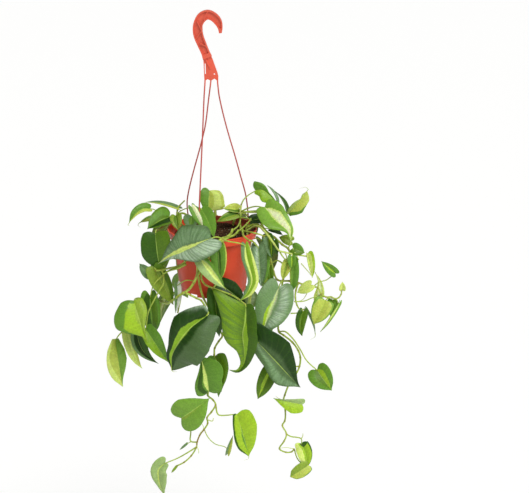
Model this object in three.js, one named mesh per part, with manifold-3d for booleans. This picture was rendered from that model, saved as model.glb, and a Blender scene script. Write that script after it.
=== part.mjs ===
// A heartleaf philodendron in a hanging plastic pot, held by a one-piece moulded hanger.
// Millimetres, +Z up. The origin is where the hook rests on what it hangs from, with +X to the right
// and +Y away from the front.
import * as THREE from 'three';
import { mergeVertices } from 'three/addons/utils/BufferGeometryUtils.js';
import Module from 'manifold-3d';

const wasm = await Module();
wasm.setup();

// The pot, measured from the top of its rim and round its own axis.
const POT_AXIS_X = 3.5;
const RIM_Z = -354;
const RIM_RADIUS = 76;
const COLLAR_HEIGHT = 13;
const COLLAR_FOOT_RADIUS = 74.4;
const WALL = 2;
const SHOULDER_RADIUS = 66.5;
const SHOULDER_DEPTH = 10;
const FOOT_RADIUS = 56;
const POT_HEIGHT = 108;
const FLOOR_THICKNESS = 2.5;
const FLOOR_LIFT = 4;
const FOOT_NOTCHES = 8;
const NOTCH_WIDTH = 15;
const NOTCH_HEIGHT = 4.5;
const NOTCH_REACH = 14;
const NOTCH_AZIMUTH = 11;
const POT_SIDES = 28;
const EDGE = 0.6;

// The soil inside it.
const GAP = 0.3;
const SOIL_EDGE_DEPTH = 13;
const SOIL_CROWN = 5.5;
const SOIL_LUMP = 0.9;
const SOIL_TILT = 0.05;
const SOIL_SLACK = 1.2;
const SOIL_SIDES = 20;
const ROOT_DEPTH = 16;
const ROOT_RISE = 4;
const HOLE_CLEARANCE = 0.35;

// The hanger: a channelled hook, a thin plate and three strands clipped into the collar.
const HOOK_DEPTH = 9;
const HOOK_WEB = 3;
const HOOK_FLANGE = 2;
const HOOK_RIB = 1.6;
const HOOK_STEPS = 17;
const POCKET_RUN = [0.1, 0.93];
const PLATE_THICKNESS = 2.6;
const STRAND_RADIUS = 1.15;
const EYE_RADIUS = 70.6;
const LUG = { wide: 11, deep: 6.4, high: 3, depth: 1.2, shift: 0.5 };
const TONGUE = { wide: 5, deep: 2, long: 12, proud: 4, barb: 7.4, barbHigh: 2.6 };
const STRAND_AZIMUTHS = { strand_front: 250, strand_left: 128, strand_right: 30 };

// The plant.
const BLADE_THICKNESS = 0.9;
const ROWS_LEAST = 4;
const ROW_LENGTHS = [30, 50, 84];
const ROW_PACE = 1.25;
const NEARBY = 0.02;
const STALK_SEAT = 0.3;
const STEM_RADIUS = 1.7;
const BRANCH_RADIUS = 1.4;
const STALK_RADIUS = 0.85;
const STALK_BOW = 0.12;
const DRIP_RADIUS = 0.7;

// Places on the plant are read square to the photograph's line of sight: millimetres to the right of and
// above SIGHT_POINT, and how far out in front of the pot's axis the place lies, measured level.
const SIGHT_TILT = THREE.MathUtils.degToRad(17);
const SIGHT_POINT = new THREE.Vector3(4.5, 0, -359);
const RIGHTWARD = new THREE.Vector3(1, 0, 0);
const UPWARD = new THREE.Vector3(0, Math.sin(SIGHT_TILT), Math.cos(SIGHT_TILT));
const NEARWARD = new THREE.Vector3(0, -Math.cos(SIGHT_TILT), Math.sin(SIGHT_TILT));
const EYE = SIGHT_POINT.clone()
  .addScaledVector(RIGHTWARD, 87.6)
  .addScaledVector(UPWARD, -27.2)
  .addScaledVector(NEARWARD, 2500);

const point = (x, y, z) => new THREE.Vector3(x, y, z);

function seen(right, up, out) {
  const sighted = SIGHT_POINT.clone().addScaledVector(RIGHTWARD, right).addScaledVector(UPWARD, up);
  const share = (-out - EYE.y) / (sighted.y - EYE.y);
  return EYE.clone().lerp(sighted, share);
}

// Solids

function solidOf(geometry) {
  const bare = geometry.clone();
  bare.deleteAttribute('normal');
  bare.deleteAttribute('uv');
  const merged = mergeVertices(bare, 1e-4);
  return new wasm.Manifold(new wasm.Mesh({
    numProp: 3,
    vertProperties: new Float32Array(merged.attributes.position.array),
    triVerts: new Uint32Array(merged.index.array),
  }));
}

function solidFrom(vertices, triangles) {
  return new wasm.Manifold(new wasm.Mesh({
    numProp: 3,
    vertProperties: new Float32Array(vertices.flatMap((vertex) => vertex.toArray())),
    triVerts: new Uint32Array(triangles.flat()),
  }));
}

function geometryOf(solid) {
  const mesh = solid.getMesh();
  const geometry = new THREE.BufferGeometry();
  geometry.setAttribute('position', new THREE.BufferAttribute(new Float32Array(mesh.vertProperties), 3));
  geometry.setIndex(new THREE.BufferAttribute(new Uint32Array(mesh.triVerts), 1));
  geometry.computeVertexNormals();
  return geometry;
}

const joined = (solids) => solids.reduce((whole, solid) => whole.add(solid));

// A smooth route whose sections fall on its listed points.
class Route extends THREE.CatmullRomCurve3 {
  getPointAt(share, target) {
    return this.getPoint(share, target);
  }

  getTangentAt(share, target) {
    return this.getTangent(share, target);
  }
}

function tube(points, radius, sides, smoothness = 1) {
  const section = new THREE.Shape(Array.from({ length: sides }, (_, side) => {
    const turn = (side / sides) * 2 * Math.PI;
    return new THREE.Vector2(radius * Math.cos(turn), radius * Math.sin(turn));
  }));
  const extrudePath = new Route(points);
  const steps = (points.length - 1) * smoothness;
  return solidOf(new THREE.ExtrudeGeometry(section, { steps, bevelEnabled: false, extrudePath }));
}

function box(wide, deep, high, centre, azimuth = 0) {
  const geometry = new THREE.BoxGeometry(wide, deep, high);
  geometry.rotateZ(THREE.MathUtils.degToRad(azimuth));
  geometry.translate(centre.x, centre.y, centre.z);
  return solidOf(geometry);
}

function turned(profile, sides) {
  const outline = profile.map(([radius, depth]) => new THREE.Vector2(radius, depth));
  const geometry = new THREE.LatheGeometry(outline, sides);
  geometry.rotateX(Math.PI / 2);
  geometry.translate(POT_AXIS_X, 0, RIM_Z);
  return solidOf(geometry);
}

function onRim(azimuth, radius, depth) {
  const turn = THREE.MathUtils.degToRad(azimuth);
  return point(POT_AXIS_X + radius * Math.cos(turn), radius * Math.sin(turn), RIM_Z - depth);
}

// Pot: collar, shoulder, tapering body, lifted floor, notched foot and three slotted lugs.

function eyeSlot(azimuth, clearance) {
  const centre = onRim(azimuth, EYE_RADIUS, TONGUE.long / 2);
  return box(TONGUE.deep + clearance, TONGUE.wide + clearance, TONGUE.long * 2, centre, azimuth);
}

function pot() {
  const footInside = FOOT_RADIUS - WALL;
  let solid = turned([
    [0, -POT_HEIGHT + FLOOR_LIFT],
    [footInside - EDGE, -POT_HEIGHT + FLOOR_LIFT],
    [footInside - EDGE, -POT_HEIGHT],
    [FOOT_RADIUS - EDGE, -POT_HEIGHT],
    [FOOT_RADIUS, -POT_HEIGHT + 2 * EDGE],
    [SHOULDER_RADIUS, -SHOULDER_DEPTH - 1],
    [COLLAR_FOOT_RADIUS - WALL, -SHOULDER_DEPTH],
    [COLLAR_FOOT_RADIUS - WALL, -COLLAR_HEIGHT],
    [COLLAR_FOOT_RADIUS, -COLLAR_HEIGHT],
    [RIM_RADIUS, -EDGE],
    [RIM_RADIUS - EDGE, 0],
    [RIM_RADIUS - WALL, -EDGE],
    [COLLAR_FOOT_RADIUS - WALL, -SHOULDER_DEPTH + WALL],
    [SHOULDER_RADIUS - WALL, -SHOULDER_DEPTH + WALL - 1],
    [footInside, -POT_HEIGHT + FLOOR_LIFT + FLOOR_THICKNESS],
    [0, -POT_HEIGHT + FLOOR_LIFT + FLOOR_THICKNESS],
  ], POT_SIDES);
  for (let notch = 0; notch < FOOT_NOTCHES; notch += 1) {
    const azimuth = NOTCH_AZIMUTH + notch * (360 / FOOT_NOTCHES);
    const centre = onRim(azimuth, FOOT_RADIUS, POT_HEIGHT);
    solid = solid.subtract(box(NOTCH_REACH, NOTCH_WIDTH, 2 * NOTCH_HEIGHT, centre, azimuth));
  }
  for (const azimuth of Object.values(STRAND_AZIMUTHS)) {
    const centre = onRim(azimuth, EYE_RADIUS + LUG.shift, LUG.depth + LUG.high / 2);
    solid = solid.add(box(LUG.deep, LUG.wide, LUG.high, centre, azimuth)).subtract(eyeSlot(azimuth, 2 * GAP));
  }
  return solid;
}

// Soil: fills the pot up to the shoulder, with a lumpy crown and a plain hole for each stem.

function lump(x, y) {
  return SOIL_LUMP * (Math.sin(x * 0.31 + 1.3) * Math.cos(y * 0.27) + 0.6 * Math.sin(x * 0.13 - y * 0.41));
}

function soil(stems) {
  const top = SHOULDER_RADIUS - WALL - GAP - SOIL_SLACK;
  const bottom = -POT_HEIGHT + FLOOR_LIFT + FLOOR_THICKNESS + GAP;
  const geometry = new THREE.LatheGeometry([
    [0, bottom],
    [FOOT_RADIUS - WALL - GAP - SOIL_SLACK, bottom],
    [top, -SOIL_EDGE_DEPTH],
    [top * 0.94, -SOIL_EDGE_DEPTH + 2],
    [top * 0.72, -SOIL_EDGE_DEPTH + SOIL_CROWN * 0.62],
    [top * 0.48, -SOIL_EDGE_DEPTH + SOIL_CROWN * 0.85],
    [0, -SOIL_EDGE_DEPTH + SOIL_CROWN],
  ].map(([radius, depth]) => new THREE.Vector2(radius, depth)), SOIL_SIDES);
  geometry.rotateX(Math.PI / 2);
  const places = geometry.attributes.position;
  for (let index = 0; index < places.count; index += 1) {
    const x = places.getX(index);
    const y = places.getY(index);
    const inside = Math.hypot(x, y) < top * 0.9 && places.getZ(index) > -SOIL_EDGE_DEPTH;
    if (inside) places.setZ(index, places.getZ(index) + lump(x, y) + SOIL_TILT * y);
  }
  geometry.translate(POT_AXIS_X, 0, RIM_Z);
  return stems.reduce((solid, [x, y]) => {
    const deep = rooted(x, y, -ROOT_DEPTH - 2);
    const high = rooted(x, y, ROOT_DEPTH);
    return solid.subtract(tube([deep, high], STEM_RADIUS + HOLE_CLEARANCE, 6));
  }, solidOf(geometry));
}

function rooted(x, y, rise) {
  return point(POT_AXIS_X + x, y, RIM_Z - SOIL_EDGE_DEPTH + SOIL_CROWN + rise);
}

// Hanger: the hook and plate lie in the plane of the hanging point. The spine gives the middle of the
// hook's channel and its full width, from the tip to the plate.
const HOOK_SPINE = [
  [12.8, 336, 4.5], [12.2, 345, 8], [8.5, 355, 12.5], [1, 363.2, 14], [-9, 367, 15], [-18.5, 362.7, 16],
  [-25, 352, 15.6], [-26, 341.5, 16], [-24.3, 330.5, 15.5], [-19, 317, 14.5], [-13, 303, 13.6],
  [-9.5, 294, 15.5],
];
const HOOK_RIBS = [
  [[-7, 378], [-15, 358]],
  [[-27, 356], [-19, 340]],
  [[-19, 340], [-29, 326]],
  [[-22, 318], [-6, 312]],
];
const PLATE_OUTLINE = [
  [-17.2, 299], [-16, 285], [-14.6, 255.5], [-12.4, 255.5], [-9, 257.4], [-5, 255.5], [-2.2, 255.5],
  [2.5, 258.4], [6.4, 255.5], [9, 255.5], [9.3, 262], [7.5, 269], [4.6, 277], [0, 290], [-3.5, 298],
];
// Where the ridge, the slot and the hole of the plate run from and to, how wide they are and how deep.
const PLATE_RIDGE = [[-17, 300], [-4, 275], 1.8, 6];
const PLATE_SLOT = [[-12.9, 266], [-13.4, 284], 1.6, 20];
const PLATE_HOLE = [[1.4, 266], [3.6, 266], 2.2, 20];

function flat(right, up) {
  const place = seen(right, up, 0);
  return new THREE.Vector2(place.x, place.z);
}

function slab(outline, depth, middle = 0) {
  const geometry = new THREE.ExtrudeGeometry(new THREE.Shape(outline), { depth, bevelEnabled: false });
  geometry.rotateX(Math.PI / 2);
  geometry.translate(0, middle + depth / 2, 0);
  return solidOf(geometry);
}

function channelOutline(inset, from, to) {
  const spine = new THREE.CatmullRomCurve3(HOOK_SPINE.map(([right, up, width]) => {
    const place = flat(right, up);
    return point(place.x, width, place.y);
  }));
  const near = [];
  const far = [];
  for (let step = 0; step <= HOOK_STEPS; step += 1) {
    const share = from + (to - from) * (step / HOOK_STEPS);
    const place = spine.getPoint(share);
    const ahead = spine.getTangent(share);
    const across = new THREE.Vector2(-ahead.z, ahead.x).normalize();
    const reach = place.y / 2 - inset;
    near.push(new THREE.Vector2(place.x, place.z).addScaledVector(across, reach));
    far.unshift(new THREE.Vector2(place.x, place.z).addScaledVector(across, -reach));
  }
  return [...near, ...far];
}

function bar(from, to, width, depth) {
  const start = flat(...from);
  const end = flat(...to);
  const across = end.clone().sub(start).rotateAround(new THREE.Vector2(), Math.PI / 2).setLength(width / 2);
  const near = [start.clone().add(across), start.clone().sub(across)];
  const far = [end.clone().sub(across), end.clone().add(across)];
  return slab([...near, ...far], depth);
}

function hangerHook() {
  const whole = slab(channelOutline(0, 0, 1), HOOK_DEPTH);
  const pocketDepth = (HOOK_DEPTH - HOOK_WEB) / 2;
  const ribs = joined(HOOK_RIBS.map(([from, to]) => bar(from, to, HOOK_RIB, HOOK_DEPTH)));
  const pocketOutline = channelOutline(HOOK_FLANGE, ...POCKET_RUN);
  const pockets = [-1, 1].map((side) => {
    const middle = side * (HOOK_DEPTH - pocketDepth + 1) / 2;
    return slab(pocketOutline, pocketDepth + 1, middle).subtract(ribs);
  });
  const plate = slab(PLATE_OUTLINE.map(([right, up]) => flat(right, up)), PLATE_THICKNESS);
  return pockets.reduce((solid, pocket) => solid.subtract(pocket), whole)
    .add(plate).add(bar(...PLATE_RIDGE)).subtract(bar(...PLATE_SLOT)).subtract(bar(...PLATE_HOLE));
}

const STRAND_ROUTES = {
  strand_front: [[-13.4, 255, 0], [-15.2, 225, 8], [-17.5, 168.5, 24], [-22.8, 52, 54], [-25.4, -6, 68]],
  strand_left: [[-3.6, 255, 0], [-7.2, 225, -7], [-13, 179, -17], [-19.4, 151, -24], [-43.7, 52, -48]],
  strand_right: [
    [7.7, 255, 0], [10.2, 231, -3], [15.3, 206.5, -7], [21.4, 182, -11], [29.2, 154.5, -16], [37, 128.5, -20],
    [46.6, 93.8, -26], [56.1, 58.3, -31],
  ],
};

function strand(name) {
  const azimuth = STRAND_AZIMUTHS[name];
  const tongueTop = onRim(azimuth, EYE_RADIUS, -1);
  const route = STRAND_ROUTES[name].map(([right, up, out]) => seen(right, up, out));
  route[0].z -= GAP;
  const tongueCentre = onRim(azimuth, EYE_RADIUS, TONGUE.long / 2 - TONGUE.proud);
  const tongue = box(TONGUE.deep, TONGUE.wide, TONGUE.long, tongueCentre, azimuth);
  const barbCentre = onRim(azimuth, EYE_RADIUS, LUG.depth + LUG.high + GAP + TONGUE.barbHigh / 2);
  const barb = box(TONGUE.deep, TONGUE.barb, TONGUE.barbHigh, barbCentre, azimuth);
  return joined([tube([...route, tongueTop], STRAND_RADIUS, 6, 2), tongue, barb]);
}

// Leaves. A half outline runs from the notch at the leaf stalk round the lobe to the drip tip, as shares of
// the half width and of the length.
const HALF_BLADE = [
  [0, 0], [0.38, -0.12], [0.76, -0.08], [0.97, 0.1], [0.97, 0.33], [0.8, 0.57], [0.5, 0.77], [0.17, 0.91],
  [0, 1],
];
// Two halves of the torn and folded leaf under the pot's right side.
const TORN_HALF = [
  [0, 0], [0.76, -0.1], [1.62, -0.21], [1.36, 0.02], [1.16, 0.27], [0.84, 0.45], [0.38, 0.6], [0.16, 0.76],
  [0.07, 0.9], [0, 1],
];
const NARROW_HALF = [
  [0, 0], [0.3, -0.01], [0.48, 0.08], [0.64, 0.25], [0.76, 0.42], [0.66, 0.55], [0.44, 0.68], [0.22, 0.79],
  [0.08, 0.9], [0, 1],
];

const placed = (place) => (place instanceof THREE.Vector3 ? place : seen(...place));

// A number that may change along a leaf, given as evenly spaced values from its base to its tip.
function gradual(value, share) {
  if (!Array.isArray(value)) return value;
  const spot = THREE.MathUtils.clamp(share, 0, 1) * (value.length - 1);
  const index = Math.min(Math.floor(spot), value.length - 2);
  return THREE.MathUtils.lerp(value[index], value[index + 1], spot - index);
}

// The way from shares of a leaf's length to places on its midrib.
function midrib(base, tip, looks, arch, bend, rib) {
  const along = tip.clone().sub(base);
  if (rib) {
    const route = new THREE.CatmullRomCurve3([base, ...rib.map(placed), tip]);
    const ahead = route.getTangent(0).multiplyScalar(route.getLength());
    return (share) => {
      return share < 0 ? base.clone().addScaledVector(ahead, share) : route.getPointAt(Math.min(share, 1));
    };
  }
  const leftward = along.clone().cross(looks);
  return (share) => {
    const swell = 4 * share * (1 - Math.max(share, 0));
    return base.clone()
      .addScaledVector(along, share)
      .addScaledVector(looks, arch * along.length() * swell)
      .addScaledVector(leftward, bend * Math.max(swell, 0));
  };
}

// A blade from its base to its tip. face is the way that its upper side looks, as [right, up, out]; fold
// lifts both halves towards it, in degrees; arch lifts the middle of the midrib towards it, and bend moves it
// sideways, as shares of the length, or rib lists places that the midrib runs through; halves gives each
// half's outline, sides scales its width and lobe the backward reach of its lobe.
function blade(base, tip, half, {
  face = [0, 0.3, 1], fold = 18, arch = 0.08, bend = 0, rib, halves = [HALF_BLADE, HALF_BLADE],
  sides = [1, 1], lobe = [1, 1],
}) {
  const straight = tip.clone().sub(base);
  const looks = point(face[0], -face[2], face[1]).projectOnPlane(straight.clone().normalize()).normalize();
  const rows = ROWS_LEAST + ROW_LENGTHS.filter((limit) => straight.length() > limit).length;
  const crest = midrib(base, tip, looks, arch, bend, rib);
  const lift = THREE.MathUtils.degToRad(fold);
  const vertices = [];
  const addPair = (place, normal) => {
    vertices.push(place.clone().addScaledVector(normal, BLADE_THICKNESS / 2));
    vertices.push(place.clone().addScaledVector(normal, -BLADE_THICKNESS / 2));
    return vertices.length - 2;
  };
  const middle = Array.from({ length: rows + 1 }, (_, row) => crest((row / rows) ** ROW_PACE));
  const spine = middle.map((place) => addPair(place, looks));
  const triangles = [];
  halves.forEach((listed, index) => {
    const side = index === 0 ? 1 : -1;
    const outline = new THREE.SplineCurve(listed.map(([across, along]) => new THREE.Vector2(across, along)));
    const rim = spine.map((pair, row) => {
      if (row === 0 || row === rows) return pair;
      const { x: across, y: along } = outline.getPoint(row / rows);
      const share = along < 0 ? along * gradual(lobe, index) : along;
      const reach = across * half * gradual(sides[index], share);
      const ahead = crest(share + NEARBY).sub(crest(share - NEARBY)).normalize();
      const leftward = ahead.clone().cross(looks).normalize();
      const upward = leftward.clone().cross(ahead);
      const place = crest(share)
        .addScaledVector(leftward, side * reach * Math.cos(lift))
        .addScaledVector(upward, reach * Math.sin(lift));
      const normal = upward.multiplyScalar(Math.cos(lift)).addScaledVector(leftward, -side * Math.sin(lift));
      return addPair(place, normal);
    });
    const put = (a, b, c) => {
      const [second, third] = side > 0 ? [b, c] : [c, b];
      triangles.push([a, second, third], [a + 1, third + 1, second + 1]);
    };
    for (let row = 0; row < rows; row += 1) {
      if (row < rows - 1) put(spine[row], rim[row + 1], spine[row + 1]);
      if (row > 0) put(spine[row], rim[row], rim[row + 1]);
      const [here, next] = side > 0 ? [rim[row], rim[row + 1]] : [rim[row + 1], rim[row]];
      triangles.push([here, here + 1, next + 1], [here, next + 1, next]);
    }
  });
  const seat = middle[0].clone().lerp(middle[1], STALK_SEAT);
  return { solid: solidFrom(vertices, triangles), crest, seat };
}

// Leafy stems. Each stem starts at its root in the soil, or at a point of the vine's first stem, and runs
// through its listed places. A leaf names the stem and the place on it that its stalk leaves.
const VINES = [
  {
    name: 'vine_left_top',
    root: [-50, 14],
    stems: [
      [
        [-51, 7, -14], [-55, 13, -19], [-62, 22, -22], [-70, 21.5, -23], [-78, 15, -18], [-88, 5, -4],
        [-96, 1, 16],
      ],
      [2, [-61, 30, -26], [-60, 37, -30], [-56, 43, -32], [-48, 51, -32]],
    ],
    leaves: [
      [0, 2, [-107, 37, -12], [-143, 12, 8], 10, {
        face: [-0.2, 0.4, 0.9], fold: 12, rib: [[-118, 37, -4], [-130, 30, 2], [-138, 20, 6]], lobe: 0.5,
        sides: [[1.0, 1.05, 1.1, 1.0], [0.7, 0.65, 0.5, 0.4]],
        way: [[-82, 21, -30], [-93, 31, -22], [-101, 36, -16]], drip: [[-144.5, 9, 9], [-141.5, 8, 9]],
      }],
      [1, 1, [-60, 38, -32], [-116, 48, -44], 10, { face: [0, 1, 0.1], fold: 8, arch: 0.06 }],
      [0, 3, [-74, 23, -14], [-112, 2, 18], 21, { face: [-0.1, 0.62, 0.75], fold: 24, arch: 0.1 }],
      [0, 4, [-94, 21, -36], [-125, 13, -30], 7, {
        face: [-0.2, 0.8, 0.5], fold: 14, drip: [[-127.5, 9, -29], [-123, 5, -28]],
      }],
      [0, 6, [-98, -5, 30], [-90, -66, 32], 27, {
        face: [-0.15, 0.2, 1], fold: 12, arch: 0.06, lobe: 0.5,
        sides: [[0.9, 1.0, 1.25, 1.6], [1, 1, 1.1, 1.2]],
      }],
      [0, 1, [-63, 25, -4], [-59, 0, 14], 11, { face: [-0.1, 0.5, 0.85], fold: 16 }],
      [0, 2, [-36, 40, 66], [-17, 4, 72], 9, {
        face: [0.1, 0.3, 0.95], fold: 16, arch: 0.06,
        sides: [[0.75, 0.8, 0.9, 0.8], [0.8, 0.85, 1.0, 1.2]], way: [[-59, 30, 0], [-47, 37, 36]],
      }],
    ],
  },
  {
    name: 'vine_left_mid',
    root: [-42, -2],
    stems: [
      [
        [-44, 0, 10], [-48, -7, 40], [-51, -8, 62], [-50, -28, 70], [-47, -52, 66], [-58, -60, 62],
        [-74, -64, 55], [-87, -67, 48], [-97, -68, 44],
      ],
      [7, [-84, -75, 50]],
    ],
    leaves: [
      [0, 8, [-101, -62, 38], [-67, -127, 36], 17, {
        face: [0.15, 0.2, 1], fold: 8, arch: 0.05, lobe: 0.5, sides: [[1, 1.1, 1, 0.8], [0.9, 1, 1, 1]],
      }],
      [0, 8, [-106, -76, 30], [-125, -56, 24], 10, { face: [-0.2, 0.2, 1], fold: 16 }],
      [1, 1, [-107, -111, 35], [-101, -178, 20], 18, {
        fold: 10, sides: [[1, 1, 1, 1], [0.8, 0.95, 1.1, 1.1]], way: [[-100, -91, 46]],
      }],
      [1, 1, [-115, -166, 40], [-76, -224, 52], 16, {
        face: [0.1, 0.1, 1], fold: 15, lobe: 0.3, sides: [[0.7, 0.9, 0.9, 0.8], [0.9, 1.1, 1, 0.9]],
        way: [[-84, -90, 54], [-91, -102, 54], [-101, -120, 54], [-110, -140, 48]],
      }],
    ],
  },
  {
    name: 'vine_left_low',
    root: [-34, -12],
    stems: [
      [
        [-35, -4, 26], [-35, -10, 56], [-34, -12, 74], [-33, -30, 84], [-28, -50, 82], [-26, -69, 79],
        [-31, -86, 75], [-42, -101, 73], [-52, -107, 72], [-58, -111, 70], [-70, -120, 60],
        [-78, -124, 44], [-87, -121, 28], [-100, -117, 20], [-116, -118, 18], [-130, -132, 16],
        [-141, -155, 17], [-146, -171, 18],
      ],
    ],
    leaves: [
      [0, 6, [-61, -92, 60], [-64, -141, 62], 7, { face: [0.4, 0.1, 0.9], fold: 24 }],
      [0, 14, [-135, -119, 46], [-111, -190, 62], 40, {
        face: [0, 0.2, 1], fold: 2, lobe: [0.4, 0.1],
        sides: [[0.7, 0.95, 1.1, 1.22, 1.0, 0.4, 0.5], [0.42, 0.46, 0.44, 0.29, 0.15, 0.1, 0.2]],
        way: [[-124, -115, 22], [-132, -116, 34]],
      }],
      [0, 16, [-129, -169, 21], [-92, -227, 26], 15, {
        fold: 16, rib: [[-127, -186, 22], [-120, -203, 24], [-108, -216, 25]],
        sides: [[0.8, 0.9, 0.7, 0.4], [1.1, 1.1, 0.7, 0.4]],
      }],
      [0, 17, [-147, -171, 16], [-120, -235, 18], 10, { face: [0.2, 0.1, 1], fold: 18, bend: 0.07 }],
      [0, 17, [-166, -184, 8], [-153, -266, 12], 19, {
        fold: 8, lobe: 0, sides: [[0.35, 0.85, 1.14, 1.36, 1.62, 1.9], [0.35, 0.72, 0.87, 0.72, 0.4, 0.2]],
        way: [[-152, -171, 16], [-160, -178, 12]],
      }],
    ],
  },
  {
    name: 'vine_front_left',
    root: [34, -4],
    stems: [
      [
        [33, 1, 8], [30, -6, 32], [22, -12, 60], [15, -14, 80], [3, -25, 89], [-8, -45, 87],
        [-18, -64, 84], [-27, -78, 82], [-33, -89, 82], [-40, -99, 82], [-46, -105, 82], [-38, -110, 82],
        [-28, -115, 83], [-20, -119, 84], [-14, -128, 86], [-9, -139, 88],
      ],
    ],
    leaves: [
      [0, 3, [-3, -13, 93], [-94, -57, 72], 30, {
        face: [-0.1, 0.35, 0.93], fold: 10, rib: [[-26, -22, 95], [-48, -32, 93], [-70, -42, 85]],
        lobe: [0.2, 1], sides: [[0.8, 1.3, 0.85, 0.35], [0.95, 1.0, 0.35, 0.2]],
      }],
      [0, 5, [-20, -50, 90], [21, -99, 90], 12, {
        face: [0.1, 0.2, 1], fold: 18, sides: [1.2, 0.9], drip: [[22, -102, 89]],
      }],
      [0, 15, [-8, -143, 90], [-70, -238, 92], 50, {
        face: [-0.1, 0.2, 1], fold: 10, lobe: [0.3, 0.8],
        rib: [[-25, -155, 95], [-40, -167, 98], [-57, -188, 100], [-70, -212, 97]],
        sides: [[0.45, 0.57, 0.68, 0.52, 0.32, 0.38, 0.4], [0.6, 0.85, 1.03, 1.16, 1.42, 2.1, 4.0]],
        drip: [[-67, -240, 92], [-61, -240, 92]],
      }],
    ],
  },
  {
    name: 'vine_front_mid',
    root: [44, -6],
    stems: [
      [
        [43, -0.5, 10], [36, -8, 42], [26, -12, 68], [18, -16.5, 81], [4, -28, 81], [-6, -48, 76],
        [-16, -66, 73], [-20, -80, 72], [-14, -91, 74], [0, -98, 76], [14, -103, 78], [30, -109, 80],
        [44, -117, 81], [54, -125, 81],
      ],
    ],
    leaves: [
      [0, 4, [8, -26, 76], [12, -87, 74], 14, { face: [0.1, 0.1, 1], fold: 12 }],
      [0, 9, [12, -90, 67], [56, -124, 68], 16, {
        face: [0, 0.2, 1], fold: 8, sides: [[0.9, 0.9, 0.8, 0.8], [0.9, 1.2, 1.2, 1]],
      }],
      [0, 9, [2, -106, 68], [11, -181, 60], 14, { fold: 12 }],
      [0, 13, [56, -126, 80], [27, -237, 92], 34, {
        face: [-0.1, 0.15, 1], fold: 12, halves: [TORN_HALF, NARROW_HALF],
        rib: [[56, -150, 84], [51, -175, 88], [53, -205, 90], [51, -228, 91], [41, -239, 92]],
      }],
      [0, 3, [55, -24, 74], [45, -121, 86], 13, {
        face: [0.05, 0.2, 1], fold: 10, rib: [[58, -45, 80], [64, -68, 85], [67, -86, 87], [60, -104, 87]],
        lobe: 0.4, sides: [[0.65, 0.75, 0.67, 0.75, 0.9, 1.2], [0.5, 0.8, 0.92, 1.03, 1.3, 1.0]],
        way: [[32, -19.5, 84], [46, -22, 80]],
      }],
    ],
  },
  {
    name: 'vine_centre_trail',
    root: [-14, -18],
    stems: [
      [
        [-15, -3, 22], [-20, -9, 50], [-24, -12, 70], [-26, -15.5, 80], [-27, -30, 80], [-27, -50, 72],
        [-26, -70, 66], [-22, -95, 62], [-16, -115, 58], [-6, -133, 52], [6, -150, 48], [11, -168, 48],
        [16, -179, 50], [10, -188, 52], [3, -200, 54], [2, -212, 56], [-3, -240, 52], [-8, -268, 52],
        [-9, -280, 54], [0, -288, 56], [4.5, -296, 56], [-3, -309, 56], [-10, -318, 56], [-9, -328, 56],
        [-15, -338, 56], [-22, -347, 56], [-27, -360, 56], [-28, -368, 56], [-37, -383, 56],
        [-49, -394, 56], [-61, -400, 56],
      ],
    ],
    leaves: [
      [0, 18, [-7, -274, 70], [-22, -214, 66], 25, {
        face: [-0.15, 0.3, 0.9], fold: 8, bend: 0.06, lobe: 0.6,
        sides: [[0.95, 1.05, 1.8, 2.6], [1.0, 0.88, 0.6, 0.3]], way: [[-8, -278, 60]],
      }],
      [0, 15, [3, -214, 58], [9.5, -284, 66], 19, {
        face: [-0.2, 0.15, 1], fold: 10, lobe: 0.4, rib: [[10, -236, 62], [13, -252, 65], [12, -268, 67]],
        sides: [[0.8, 0.9, 1, 1], [1.2, 1.0, 0.5, 0.3]],
      }],
      [0, 26, [-54, -319, 60], [-6, -285, 66], 29, {
        face: [0, 0.2, 1], fold: 8, sides: [[1.05, 1.05, 1.0, 0.8], [1.0, 1.1, 0.9, 0.6]],
        way: [[-38, -358, 54], [-38, -340, 50]],
      }],
      [0, 20, [41, -312, 56], [61, -384, 62], 22, {
        face: [0.1, 0.2, 1], fold: 8, lobe: [0.2, 0.5], rib: [[47, -335, 60], [55, -360, 62]],
        sides: [[0.4, 0.65, 1.1, 1.8], [1.2, 1.35, 1.25, 1.3]],
        way: [[9, -313, 56], [24, -314, 56], [34, -313, 55]], drip: [[60, -388, 62], [52, -391, 62]],
      }],
      [0, 24, [25, -379, 56], [34, -348, 58], 5, {
        fold: 30, way: [[-8, -352, 56], [4, -363, 56], [22, -369, 56]],
      }],
      [0, 27, [-81, -395, 56], [-82, -451, 60], 18, {
        face: [-0.1, 0.2, 1], fold: 10, lobe: [0.8, 0.3],
        sides: [[0.9, 0.75, 0.4, 0.3], [0.5, 1.0, 1.1, 0.9]],
        rib: [[-91, -404, 57], [-94, -416, 58], [-90, -434, 59]], way: [[-42, -377, 56], [-60, -387, 56]],
      }],
      [0, 26, [-44, -362, 54], [-57, -373, 54], 2.2, { fold: 10 }],
      [0, 30, [-62, -401, 56], [-71, -412, 56], 2.4, { fold: 10 }],
    ],
  },
  {
    name: 'vine_top_centre',
    root: [-14, 22],
    stems: [
      [[-15, 11, -24], [-18, 19, -26], [-21, 30, -25], [-24, 38, -22]],
    ],
    leaves: [
      [0, 2, [-36, 24, -8], [-38, 0, 12], 14, { face: [-0.1, 0.5, 0.85], fold: 12 }],
      [0, 3, [-20, 36, -12], [2, -13, 52], 16, { face: [0.3, 0.8, 0.6], fold: 14, arch: 0.05 }],
      [0, 2, [-6, 68, -34], [-8, 33, -24], 22, {
        face: [0, 0.25, 1], fold: 8, arch: 0.05, lobe: [1, 0.2],
        sides: [[0.7, 0.75, 0.85, 1.2], [0.9, 1.1, 1.25, 1.6, 2.6, 7]], way: [[-12, 50, -40]],
      }],
    ],
  },
  {
    name: 'vine_right_top',
    root: [48, 12],
    stems: [
      [[46, 10, -14], [46, 21, -15], [47, 32, -15], [48, 44, -15]],
    ],
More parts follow.
